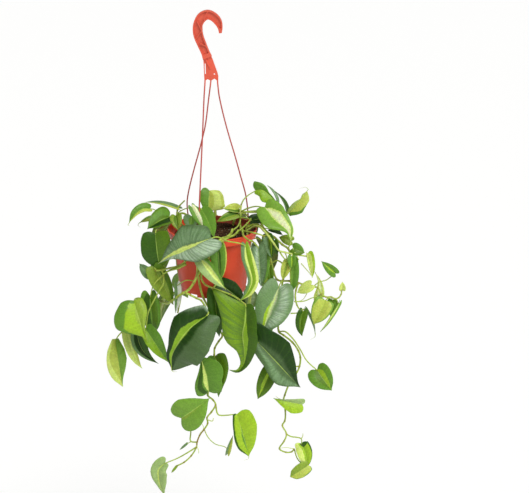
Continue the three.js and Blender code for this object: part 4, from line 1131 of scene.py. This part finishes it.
grow("left_mid", (-42, -2), [
    [(-44, 0, 10), (-48, -7, 40), (-51, -8, 62), (-50, -28, 70), (-47, -52, 66), (-58, -60, 62),
     (-74, -64, 55), (-87, -67, 48), (-97, -68, 44)],
    [7, (-84, -75, 50)],
], [
    leaf(0, 8, (-101, -62, 38), (-67, -127, 36), 17, paint("olive", (-1.1, -0.4, "moss")),
         face=(0.15, 0.2, 1), fold=8, arch=0.05, lobe=0.5, sides=((1, 1.1, 1, 0.8), (0.9, 1, 1, 1))),
    leaf(0, 8, (-106, -76, 30), (-125, -56, 24), 10, paint("grey"), face=(-0.2, 0.2, 1), fold=16),
    leaf(1, 1, (-107, -111, 35), (-101, -178, 20), 18,
         paint("mid", (0.1, 0.7, "dark"), (-0.7, -0.1, "moss")), fold=10,
         sides=((1, 1, 1, 1), (0.8, 0.95, 1.1, 1.1)), way=[(-100, -91, 46)]),
    leaf(1, 1, (-115, -166, 40), (-76, -224, 52), 16, paint("mid", (0, 1.1, "leafy")), face=(0.1, 0.1, 1),
         fold=15, lobe=0.3, sides=((0.7, 0.9, 0.9, 0.8), (0.9, 1.1, 1, 0.9)),
         way=[(-84, -90, 54), (-91, -102, 54), (-101, -120, 54), (-110, -140, 48)]),
], stout=1.15, threads=[
    [2.1, 0, (-46, -57, 67), (-60, -64, 63), (-75, -68.5, 56), (-84, -74, 51)],
])
grow("left_low", (-34, -12), [
    [(-35, -4, 26), (-35, -10, 56), (-34, -12, 74), (-33, -30, 84), (-28, -50, 82), (-26, -69, 79),
     (-31, -86, 75), (-42, -101, 73), (-52, -107, 72), (-58, -111, 70), (-70, -120, 60), (-78, -124, 44),
     (-87, -121, 28), (-100, -117, 20), (-116, -118, 18), (-130, -132, 16), (-141, -155, 17),
     (-146, -171, 18)],
], [
    leaf(0, 6, (-61, -92, 60), (-64, -141, 62), 7, paint("grey", (-1.1, -0.1, "white")),
         face=(0.4, 0.1, 0.9), fold=24),
    leaf(0, 14, (-135, -119, 46), (-111, -190, 62), 40,
         paint("lime", (-1.1, (-1.0, 0.1, 0.1, 0.05, 0), "spring"),
             ((-0.9, 0.52, 0.5, 0.54, 0.8, 1.1, 1.1), 1.1, "mid")), face=(0, 0.2, 1), fold=2,
         lobe=(0.4, 0.1), sides=((0.7, 0.95, 1.1, 1.22, 1.0, 0.4, 0.5),
             (0.42, 0.46, 0.44, 0.29, 0.15, 0.1, 0.2)), way=[(-124, -115, 22), (-132, -116, 34)]),
    leaf(0, 16, (-129, -169, 21), (-92, -227, 26), 15,
         paint("dark", (0.6, 1.1, "grey"), (-0.1, 0.55, "deep")), fold=16,
         rib=[(-127, -186, 22), (-120, -203, 24), (-108, -216, 25)],
         sides=((0.8, 0.9, 0.7, 0.4), (1.1, 1.1, 0.7, 0.4))),
    leaf(0, 17, (-147, -171, 16), (-120, -235, 18), 10, paint("pale", (-1.1, -0.5, "yellow")),
         face=(0.2, 0.1, 1), fold=18, bend=0.07),
    leaf(0, 17, (-166, -184, 8), (-153, -266, 12), 19,
         paint("fresh", (0.02, 1.1, "yellow"), ((1.1, 0.9, 0.5, 0.2), 1.1, "pale")), fold=8, lobe=0,
         sides=((0.35, 0.85, 1.14, 1.36, 1.62, 1.9), (0.35, 0.72, 0.87, 0.72, 0.4, 0.2)),
         way=[(-152, -171, 16), (-160, -178, 12)]),
], stout=1.25)
grow("front_left", (34, -4), [
    [(33, 1, 8), (30, -6, 32), (22, -12, 60), (15, -14, 80), (3, -25, 89), (-8, -45, 87), (-18, -64, 84),
     (-27, -78, 82), (-33, -89, 82), (-40, -99, 82), (-46, -105, 82), (-38, -110, 82), (-28, -115, 83),
     (-20, -119, 84), (-14, -128, 86), (-9, -139, 88)],
], [
    leaf(0, 3, (-3, -13, 93), (-94, -57, 72), 30,
         paint("slate", (0.12, 0.85, "painted_soft_reflection"), (-0.93, -0.1, "painted_silver_reflection"),
             ((-0.04, -0.06, -0.1, -0.3, -0.4), (0.04, 0.06, 0.1, 0.35, 0.9), "pale")),
         face=(-0.1, 0.35, 0.93), fold=10, rib=[(-26, -22, 95), (-48, -32, 93), (-70, -42, 85)],
         lobe=(0.2, 1), sides=((0.8, 1.3, 0.85, 0.35), (0.95, 1.0, 0.35, 0.2))),
    leaf(0, 5, (-20, -50, 90), (21, -99, 90), 12,
         paint("sage", (-0.35, (0.25, 0.25, 0.6), "pale"), (-1.1, -0.5, "mid")), face=(0.1, 0.2, 1), fold=18,
         sides=(1.2, 0.9), drip=[(22, -102, 89)]),
    leaf(0, 15, (-8, -143, 90), (-70, -238, 92), 50,
         paint("slate", (-0.3, 1.1, "deep"), (-0.02, (0.06, 0.3, 0.4, 0.6), "leafy"),
             ((0.8, 0.93, 1.2, 1.2), 1.1, "painted_silver_reflection")), face=(-0.1, 0.2, 1), fold=10, lobe=(0.3, 0.8),
         rib=[(-25, -155, 95), (-40, -167, 98), (-57, -188, 100), (-70, -212, 97)],
         sides=((0.45, 0.57, 0.68, 0.52, 0.32, 0.38, 0.4), (0.6, 0.85, 1.03, 1.16, 1.42, 2.1, 4.0)),
         girth=1.5, drip=[(-67, -240, 92), (-61, -240, 92)]),
], stout=1.2, threads=[
    [1.5, 0, (33, 0, 7), (42, 7, 0), (47, 18, -9)],
])
grow("front_mid", (44, -6), [
    [(43, -0.5, 10), (36, -8, 42), (26, -12, 68), (18, -16.5, 81), (4, -28, 81), (-6, -48, 76),
     (-16, -66, 73), (-20, -80, 72), (-14, -91, 74), (0, -98, 76), (14, -103, 78), (30, -109, 80),
     (44, -117, 81), (54, -125, 81)],
], [
    leaf(0, 4, (8, -26, 76), (12, -87, 74), 14, paint("mid", (-0.25, 0.15, "dark"), (-1.1, -0.86, "yellow")),
         face=(0.1, 0.1, 1), fold=12),
    leaf(0, 9, (12, -90, 67), (56, -124, 68), 16, paint("deep", (0.6, 1.1, "slate")), face=(0, 0.2, 1),
         fold=8, sides=((0.9, 0.9, 0.8, 0.8), (0.9, 1.2, 1.2, 1))),
    leaf(0, 9, (2, -106, 68), (11, -181, 60), 14, paint("dark"), fold=12),
    leaf(0, 13, (56, -126, 80), (27, -237, 92), 34,
         paint("shade", (0.1, 1.1, "glow"), ((0, -0.05, -0.4, -0.3, 0), 0, "leafy")), face=(-0.1, 0.15, 1),
         fold=12, halves=(TORN_HALF, NARROW_HALF),
         rib=[(56, -150, 84), (51, -175, 88), (53, -205, 90), (51, -228, 91), (41, -239, 92)]),
    leaf(0, 3, (55, -24, 74), (45, -121, 86), 13,
         paint("leafy", (0.45, 1.1, "grey"), (0, (0.45, 0.45, 0.2, 0.1), "pale"),
             (-1.1, (-1.2, -1.1, -0.6, -0.5, -1.2), "pale")), face=(0.05, 0.2, 1), fold=10,
         rib=[(58, -45, 80), (64, -68, 85), (67, -86, 87), (60, -104, 87)], lobe=0.4,
         sides=((0.65, 0.75, 0.67, 0.75, 0.9, 1.2), (0.5, 0.8, 0.92, 1.03, 1.3, 1.0)),
         way=[(32, -19.5, 84), (46, -22, 80)]),
], threads=[
    [1.7, 0, (43, -2, 8), (52, 6, 0), (60, 14, -7), (65, 21, -11)],
])
grow("centre_trail", (-14, -18), [
    [(-15, -3, 22), (-20, -9, 50), (-24, -12, 70), (-26, -15.5, 80), (-27, -30, 80), (-27, -50, 72),
     (-26, -70, 66), (-22, -95, 62), (-16, -115, 58), (-6, -133, 52), (6, -150, 48), (11, -168, 48),
     (16, -179, 50), (10, -188, 52), (3, -200, 54), (2, -212, 56), (-3, -240, 52), (-8, -268, 52),
     (-9, -280, 54), (0, -288, 56), (4.5, -296, 56), (-3, -309, 56), (-10, -318, 56), (-9, -328, 56),
     (-15, -338, 56), (-22, -347, 56), (-27, -360, 56), (-28, -368, 56), (-37, -383, 56), (-49, -394, 56),
     (-61, -400, 56)],
], [
    leaf(0, 18, (-7, -274, 70), (-22, -214, 66), 25,
         paint("mid", (-0.75, -0.4, "dark"), ((-0.2, -0.3, -0.5), 0, "pale")), face=(-0.15, 0.3, 0.9),
         fold=8, bend=0.06, lobe=0.6, sides=((0.95, 1.05, 1.8, 2.6), (1.0, 0.88, 0.6, 0.3)),
         way=[(-8, -278, 60)]),
    leaf(0, 15, (3, -214, 58), (9.5, -284, 66), 19,
         paint("mid", (-1.1, -0.1, "moss"), (-0.12, 0.03, "lime")), face=(-0.2, 0.15, 1), fold=10, lobe=0.4,
         rib=[(10, -236, 62), (13, -252, 65), (12, -268, 67)],
         sides=((0.8, 0.9, 1, 1), (1.2, 1.0, 0.5, 0.3))),
    leaf(0, 26, (-54, -319, 60), (-6, -285, 66), 29, paint("fresh", (0.05, (0.3, 0.1, 0.05), "olive")),
         face=(0, 0.2, 1), fold=8, sides=((1.05, 1.05, 1.0, 0.8), (1.0, 1.1, 0.9, 0.6)),
         way=[(-38, -358, 54), (-38, -340, 50)]),
    leaf(0, 20, (41, -312, 56), (61, -384, 62), 22,
         paint("lime", (0.8, 1.1, "dark"), (-0.04, (-0.04, -0.02, 0.2, 0.05), "mid")), face=(0.1, 0.2, 1),
         fold=8, lobe=(0.2, 0.5), rib=[(47, -335, 60), (55, -360, 62)],
         sides=((0.4, 0.65, 1.1, 1.8), (1.2, 1.35, 1.25, 1.3)),
         way=[(9, -313, 56), (24, -314, 56), (34, -313, 55)], drip=[(60, -388, 62), (52, -391, 62)]),
    leaf(0, 24, (25, -379, 56), (34, -348, 58), 5, paint("grey", (-0.2, 1.1, "yellow")), fold=30,
         way=[(-8, -352, 56), (4, -363, 56), (22, -369, 56)]),
    leaf(0, 27, (-81, -395, 56), (-82, -451, 60), 18, paint("sage", (-0.12, 0.06, "pale")),
         face=(-0.1, 0.2, 1), fold=10, lobe=(0.8, 0.3), sides=((0.9, 0.75, 0.4, 0.3), (0.5, 1.0, 1.1, 0.9)),
         rib=[(-91, -404, 57), (-94, -416, 58), (-90, -434, 59)], way=[(-42, -377, 56), (-60, -387, 56)]),
    leaf(0, 26, (-44, -362, 54), (-57, -373, 54), 2.2, paint("grey"), fold=10),
    leaf(0, 30, (-62, -401, 56), (-71, -412, 56), 2.4, paint("olive"), fold=10),
], rusty=(24, 27), threads=[
    [0.7, 0.7, (-22, -345, 57), (-16, -336, 60), (-20, -326, 62)],
    [0.7, 0.8, (-28, -366, 57), (-25, -372, 59), (-24, -379, 58)],
    [1.0, 1.0, (-8, -322, 57), (-1, -324, 59), (1, -319, 60)],
])
grow("top_centre", (-14, 22), [
    [(-15, 11, -24), (-18, 19, -26), (-21, 30, -25), (-24, 38, -22)],
], [
    leaf(0, 2, (-36, 24, -8), (-38, 0, 12), 14, paint("grey", (-0.5, 0.3, "mid")), face=(-0.1, 0.5, 0.85),
         fold=12),
    leaf(0, 3, (-20, 36, -12), (2, -13, 52), 16, paint("mid"), face=(0.3, 0.8, 0.6), fold=14, arch=0.05),
    leaf(0, 2, (-6, 68, -34), (-8, 33, -24), 22, paint("yellow", (0, 1.1, "mid"), (-0.8, -0.35, "pale")),
         face=(0, 0.25, 1), fold=8, arch=0.05, lobe=(1, 0.2),
         sides=((0.7, 0.75, 0.85, 1.2), (0.9, 1.1, 1.25, 1.6, 2.6, 7)), way=[(-12, 50, -40)]),
])
grow("right_top", (48, 12), [
    [(46, 10, -14), (46, 21, -15), (47, 32, -15), (48, 44, -15)],
], [
    leaf(0, 3, (72, 68, -16), (110, 46, -8), 15, paint("leafy", (-1.1, -0.02, "mid"), (-0.05, 0.04, "lime")),
         face=(0.1, 0.25, 1), fold=10, lobe=(0.3, 0.5), rib=[(82, 68.5, -14), (93, 63, -12)],
         sides=((0.5, 0.9, 1.35, 1.5, 1.5), (1.2, 0.75, 0.2, 0.2, 0.2)), way=[(52, 52, -16), (60, 60, -17)]),
    leaf(0, 2, (88, 40, 6), (132.5, -19, 44), 24,
         paint("fresh", ((-0.08, -0.38, -0.58, -0.7, -0.6), 0.04, "pale"),
             ((0, -0.25, -0.45, -0.55, -0.3), (0.1, -0.1, -0.05, -0.05, -0.2), "cream"),
             (-1.1, (-1.1, -1.1, -1.05, -0.8), "pale")), face=(0.1, 0.45, 0.9), fold=12,
         rib=[(103, 21, 22), (116, 9, 32), (127, -2, 39)], lobe=(0.4, 0.6),
         sides=((0.8, 0.91, 0.96, 0.92, 0.5, 0.25, 0.5), (0.95, 1.06, 1.0, 0.97, 1.0)),
         way=[(60, 38, -8), (74, 41, 0)]),
    leaf(0, 2, (44, 37, -22), (17, 37, -10), 9, paint("yellow", (-0.9, -0.4, "moss")), face=(0, 0.6, 0.8),
         fold=12),
    leaf(0, 1, (43, 29, -18), (6, 15, -6), 9, paint("olive", (0, 0.6, "mid")), face=(0, 0.5, 0.85), fold=14),
    leaf(0, 1, (65, 17, -12), (93, 21, -22), 10, paint("deep"), face=(0, 0.6, 0.8), fold=14,
         way=[(56, 22, -10)]),
    leaf(0, 2, (126, 31, -2), (105.5, 67, -22), 11, paint("dark", (-0.5, 0.1, "grey")),
         face=(0.9, 0.4, 0.25), fold=14, way=[(62, 32, -30), (80, 33, -36), (108, 26, -24)]),
    leaf(0, 2, (109, 50, -34), (92, 77, -44), 8, paint("grey", (-0.3, 0.3, "painted_silver_reflection")), face=(0.8, 0.5, 0.2),
         fold=14, way=[(62, 33, -34), (84, 36, -42)]),
    leaf(0, 2, (129, 29, 6), (160, 67, 0), 16,
         paint("yellow", (-1.1, -0.1, "soft"), ((0.05, 0.45, 0.75, 1.1, 1.1), 1.1, "mid")), face=(0, 0.2, 1),
         fold=12, lobe=0.3, sides=((0.4, 0.8, 1.08, 1.08, 1.25, 1.9, 3.4),
             (0.3, 0.38, 0.4, 0.33, 0.05, 0.5, 0.7)), way=[(62, 31, -26), (82, 30, -30), (110, 22, -16)],
         drip=[(162, 70, 0), (157, 73.5, 0), (147, 71, 0)]),
], threads=[
    [1.7, 1.0, (48, 42, -13), (46.5, 34, -12), (46, 25, -13)],
])
grow("front_right", (52, -4), [
    [(50, -0.5, 12), (51, -6.5, 38), (52, -9, 58), (60, -16, 67), (67, -18, 60), (73, -25, 52)],
    [0, (56, -2, 24), (64, -3, 42), (75, -5.5, 48), (85, -9, 46), (90, -16, 42)],
], [
    leaf(0, 5, (77, -28, 51), (82, -96, 58), 14, paint("slate", (-0.8, 0.75, "painted_soft_reflection"), (0.1, 0.5, "painted_silver_reflection")),
         fold=14),
    leaf(1, 5, (89, -42, 38), (85, -92, 40), 8, paint("mid", (0.3, 1.1, "dark")), face=(0.3, 0, 1), fold=16,
         way=[(92, -28, 40)]),
    leaf(1, 5, (93, -10, 43), (100, -48, 46), 11, paint("dark", (0.2, 0.8, "painted_soft_reflection"), (-0.5, -0.2, "leafy")),
         face=(-0.1, 0.1, 1), fold=16),
    leaf(1, 4, (104, -18, 42), (109, -42, 44), 7, paint("dark"), fold=14, way=[(97, -9, 45)]),
])
grow("right_mid", (58, 6), [
    [(60, 6, -4), (68, 9.5, -3), (77, 9.5, 0), (86, 3, 6), (95, -5, 10), (105, -12, 13), (118, -24, 16),
     (128, -31, 18), (131, -40, 20), (129, -52, 22), (125, -68, 26), (119, -84, 30), (117, -100, 28),
     (114, -130, 28), (112, -172, 34), (120, -178, 38), (135, -190, 40), (145, -204, 40), (148.5, -216, 40),
     (147, -231, 40), (140, -246, 40), (130, -260, 38), (122, -280, 38), (120, -288, 38), (123, -306, 36),
     (122, -324, 36), (118, -331, 36), (125, -346, 36), (121, -358, 36), (113, -371, 36), (124, -377, 36),
     (134, -376, 36), (138, -371, 36)],
], [
    leaf(0, 3, (97, 2, 4), (119, -8, 2), 6, paint("deep"), face=(0, 0.8, 0.6), fold=14),
    leaf(0, 7, (134, -18, 12), (112, -11, 8), 9, paint("olive"), face=(0, 0.3, 1), fold=10),
    leaf(0, 10, (95, -62, 30), (100, -92, 32), 7, paint("moss"), fold=20, girth=1.5,
         way=[(117, -55, 28), (108, -51, 28), (99, -57, 29)]),
    leaf(0, 11, (112, -96, 44), (82, -178, 64), 33,
         paint("grey", (-0.75, -0.25, "painted_silver_reflection"), (0, (0, 0.05, 0.35, 0.5), "lime"),
             (-0.045, 0.045, "cream")), face=(0, 0.25, 1), fold=10, arch=0.05,
         sides=((0.8, 0.95, 0.95, 0.9), (0.9, 1.05, 1.1, 1.0))),
    leaf(0, 13, (75, -189, 74), (149, -267, 66), 34,
         paint("deep", (0, 1.1, "slate"), (0.4, (0.4, 0.6, 0.9, 0.9), "painted_soft_reflection"), (-0.3, -0.05, "slate")),
         face=(0.05, 0.3, 1), fold=12, arch=0.05, lobe=(0.5, 2),
         sides=((0.45, 0.62, 1.15, 1.2), (1.0, 1.2, 0.88, 0.3)), way=[(92, -146, 42), (79, -164, 58)]),
    leaf(0, 19, (98, -236, 50), (76, -287, 54), 15, paint("moss", (-0.1, 0.3, "lime")), fold=12,
         way=[(122, -232, 42)]),
    leaf(0, 14, (177, -237, 40), (202, -272, 52), 21, paint("mid", (0, 0.4, "moss"), (-0.42, -0.04, "lime")),
         face=(-0.2, 0.3, 1), fold=12, way=[(123, -172, 42), (136, -184, 46), (147, -200, 46),
             (160, -222, 43)]),
    leaf(0, 23, (152, -296, 42), (102, -285, 50), 14, paint("lime", (0.03, 1.1, "sage")), face=(0, 0.3, 1),
         fold=8, lobe=0.5, sides=((0.85, 0.5, 0.25, 0.25), (1.1, 1.35, 1.1, 0.8)), way=[(132, -290, 38)]),
    leaf(0, 27, (150, -362, 36), (159, -404, 38), 15,
         paint("dark", ((1.2, -0.8, -0.9, -0.9), 1.1, "lime"), ((1.2, 0.2, 0.3, 0.4), 1.1, "pale")), fold=10,
         bend=-0.08, lobe=0.4, sides=((0.9, 1.0, 1.1, 1.3), (0.9, 0.9, 0.8, 0.8)),
         way=[(132, -350, 36), (150, -354, 35)]),
    leaf(0, 32, (162, -399, 42), (131, -419, 48), 13,
         paint("olive", (-0.9, 0, "yellow"), (-1.1, -0.9, "mid")), face=(0, 0.2, 1), fold=8, lobe=0.5,
         sides=((0.9, 1.0, 1.2, 2.0), (0.9, 1.0, 1.2, 2.0)), way=[(143, -387, 39), (150, -395, 39)]),
], threads=[
    [0.7, 0.9, (137, -371, 36), (125, -369, 37), (114, -370, 36)],
    [0.9, 0.5, (150, -354, 35.5), (152.5, -350, 35), (153, -345, 35)],
    [0.5, 1.0, (122, -288, 38), (113, -286, 39), (107, -282, 40)],
])
grow("right_far", (60, -4), [
    [(62, 2, 6), (70, 7, 12), (78, 7, 24), (86, 0, 40), (97, -13, 54), (104, -23, 55), (112, -34, 48),
     (122, -37, 41), (136, -40, 37), (148, -42, 36), (160, -44, 36)],
], [
    leaf(0, 8, (136, -30, 33), (156, -38, 36), 11, paint("moss", (-1.1, -0.1, "mid")), fold=8),
    leaf(0, 10, (161, -39, 36), (169, -81, 42), 11, paint("lime", (-0.6, 1.1, "pale")), face=(-0.1, 0.1, 1),
         fold=14, lobe=(0.3, 0.6), sides=(0.25, 1.0)),
    leaf(0, 8, (134, -44, 40), (134, -66, 44), 8, paint("mid", (-0.15, 0.15, "lime")), fold=17),
    leaf(0, 8, (138, -51, 31), (133, -107, 34), 9, paint("mid", (0.5, 1.1, "olive")), fold=14,
         sides=((0.7, 0.7, 0.6, 0.5), (0.9, 1.2, 1.5, 1.4))),
    leaf(0, 7, (127, -53, 34), (118, -84, 38), 9, paint("yellow", (-0.2, 0.2, "olive")), fold=18),
], young=0.55)
grow("right_end", (58, 18), [
    [(60, 8, -16), (70, 13, -16), (79, 14, -14), (88, 0, -10), (96, -38, -4), (103, -70, 4), (110, -84, 10),
     (130, -86, 14), (145, -89, 16), (160, -94, 18), (170, -96, 20), (178, -97, 20), (184, -108, 20),
     (192, -113, 20), (201, -113, 20), (208, -116, 20), (214, -114, 20), (218, -108, 20), (219, -102, 20)],
    [8, (141, -102, 18), (140, -114, 18), (143, -127, 18), (148, -134, 17), (155, -134, 17)],
], [
    leaf(0, 10, (167, -92, 22), (143, -106, 20), 10, paint("pale"), face=(0, 0.3, 1), fold=10),
    leaf(0, 10, (208, -73, 20), (184, -52, 24), 9, paint("mid", (-0.2, 0.2, "lime")), face=(-0.2, 0.4, 1),
         fold=14, way=[(180, -88, 20), (193, -84, 20)]),
    leaf(0, 12, (181, -112, 12), (173.5, -71, 10), 9, paint("pale", (-0.4, 0.3, "cream")),
         face=(0.1, 0.2, 1), fold=10, lobe=(0.3, 2.6), rib=[(182.5, -99, 12), (181, -86, 11)],
         sides=((1.0, 0.7, 0.4, 0.4), (1.3, 0.8, 0.4, 0.4)), drip=[(171.5, -69.5, 10), (169.5, -71.5, 10)]),
    leaf(0, 14, (191, -119, 24), (171, -160, 32), 18,
         paint("yellow", ((0.6, 0.85, 1.1), 1.1, "fresh"), (-1.1, -0.85, "fresh")), fold=10, lobe=0.3),
    leaf(0, 14, (203, -119, 14), (203, -149, 12), 10, paint("fresh"), fold=10),
    leaf(0, 15, (214, -125, 18), (182, -173, 18), 6, paint("fresh", (-0.3, 0.7, "pale")),
         face=(0.8, 0.3, 0.5), fold=16, bend=0.1),
    leaf(0, 18, (220, -101, 20), (220, -87, 20), 6, paint("pale"), fold=16),
    leaf(1, 4, (154, -137, 18), (152, -180, 22), 10, paint("moss", (0.3, 1.1, "dark")), fold=12, bend=0.1),
    leaf(1, 5, (159, -135, 15), (174, -177, 12), 5, paint("grey"), face=(0.9, 0.2, 0.4), fold=14, bend=0.05,
         drip=[(173, -181, 12), (165, -186, 12)]),
], young=0.15, threads=[
    [1.2, 0.1, (132, -141, 20), (146, -140, 18), (157, -138, 17)],
    [1.1, 0.4, (138, -121, 19), (155, -120, 18), (172, -113.5, 19), (190, -113, 20)],
    [0.7, 0.7, (163, -101, 19), (152, -118, 18), (140, -121, 18)],
    [0.8, 0.9, (150, -56, 30), (163, -71, 22), (169, -77, 14), (172, -72, 11)],
    [1.2, 1.0, (139, -37, 38), (146, -50, 37)],
    [1.3, 0.2, (114, -37, 44), (120, -46, 40), (127, -53, 36)],
])

# The back of the plant hangs in plain trails, each with a leaf to the left and to the right by turns
BACK_TRAILS = [
    {"name": "back_left", "azimuth": 135, "root": 54, "hang": 88, "drop": 187, "leaves": 5, "size": 66},
    {"name": "back_mid", "azimuth": 88, "root": 52, "hang": 90, "drop": 150, "leaves": 6, "size": 66},
    {"name": "back_right", "azimuth": 48, "root": 52, "hang": 96, "drop": 225, "leaves": 6, "size": 64},
]
TRAIL_PAINTS = [
    paint("mid", (-0.15, 0.25, "lime")),
    paint("dark", (-0.5, -0.1, "lime"), (-0.3, -0.15, "cream")),
    paint("dark"),
    paint("mid", (0.05, 1.1, "lime")),
    paint("dark", (0.1, 0.6, "painted_silver_reflection"), (-0.05, 0.1, "lime")),
    paint("fresh", (-0.08, 0.06, "lime")),
]


def trail(azimuth, root, hang, drop, leaves, size, **_):
    turn = math.radians(azimuth)
    out = point(math.cos(turn), math.sin(turn), 0)
    aside = point(-out.y, out.x, 0)
    route = [on_rim(azimuth, 64, -9), on_rim(azimuth, 80, -9), on_rim(azimuth, hang - 2, 8)]
    step = (drop - 20) / leaves
    for node in range(1, leaves + 1):
        sway = 5 * math.sin(node * 2.1 + azimuth)
        route.append(on_rim(azimuth, hang, 8 + node * step) + aside * sway)
    blades = []
    for index in range(leaves):
        side = -1 if index % 2 else 1
        length = size * (1 - 0.05 * index)
        base = route[index + 2] + aside * side * 15 + out * (9 + 3 * (index % 3))
        tip = base + aside * side * length * 0.35 + out * 6 - point(0, 0, length * 0.92)
        tones = TRAIL_PAINTS[(index + azimuth) % len(TRAIL_PAINTS)]
        face = (out.x, 0.25, -out.y)
        blades.append(leaf(0, index + 2, base, tip, length * 0.36, tones, face=face, fold=14))
    return {"root": (root * out.x, root * out.y), "stems": [route], "leaves": blades}


for plan in BACK_TRAILS:
    grow(plan["name"], **trail(**plan))


# Light and floor, in metres

FLOOR_Z = -1.4
FLOOR_HALF = 30


def make_floor():
    corners = [(-1, -1), (1, -1), (1, 1), (-1, 1)]
    mesh = bpy.data.meshes.new("floor")
    mesh.from_pydata([(x * FLOOR_HALF, y * FLOOR_HALF, FLOOR_Z) for x, y in corners], [], [(0, 1, 2, 3)])
    surface = Surface("floor_white", Roughness=0.9)
    mesh.materials.append(surface.set(Base_Color=linear(253, 253, 252)))
    floor = add_object("floor", mesh)


def make_sun(name, azimuth, elevation, spread, strength):
    """A soft source far away, seen from the plant at the azimuth and elevation and as wide as its spread."""
    sun = bpy.data.lights.new(name, "SUN")
    sun.angle = math.radians(spread)
    sun.energy = strength
    holder = add_object(name, sun)
    holder.rotation_euler = (math.radians(90 - elevation), 0, math.radians(azimuth + 90))


def make_world(strength):
    world = bpy.data.worlds.new("studio")
    world.use_nodes = True
    sky = world.node_tree.nodes["Background"]
    sky.inputs["Color"].default_value = (1, 1, 1, 1)
    sky.inputs["Strength"].default_value = strength
    bpy.context.scene.world = world


make_floor()
make_sun("softbox", azimuth=-72, elevation=52, spread=30, strength=1.95)
make_sun("side_light", azimuth=-25, elevation=32, spread=40, strength=1.3)
make_world(0.33)
bpy.context.scene.view_settings.view_transform = "Standard"
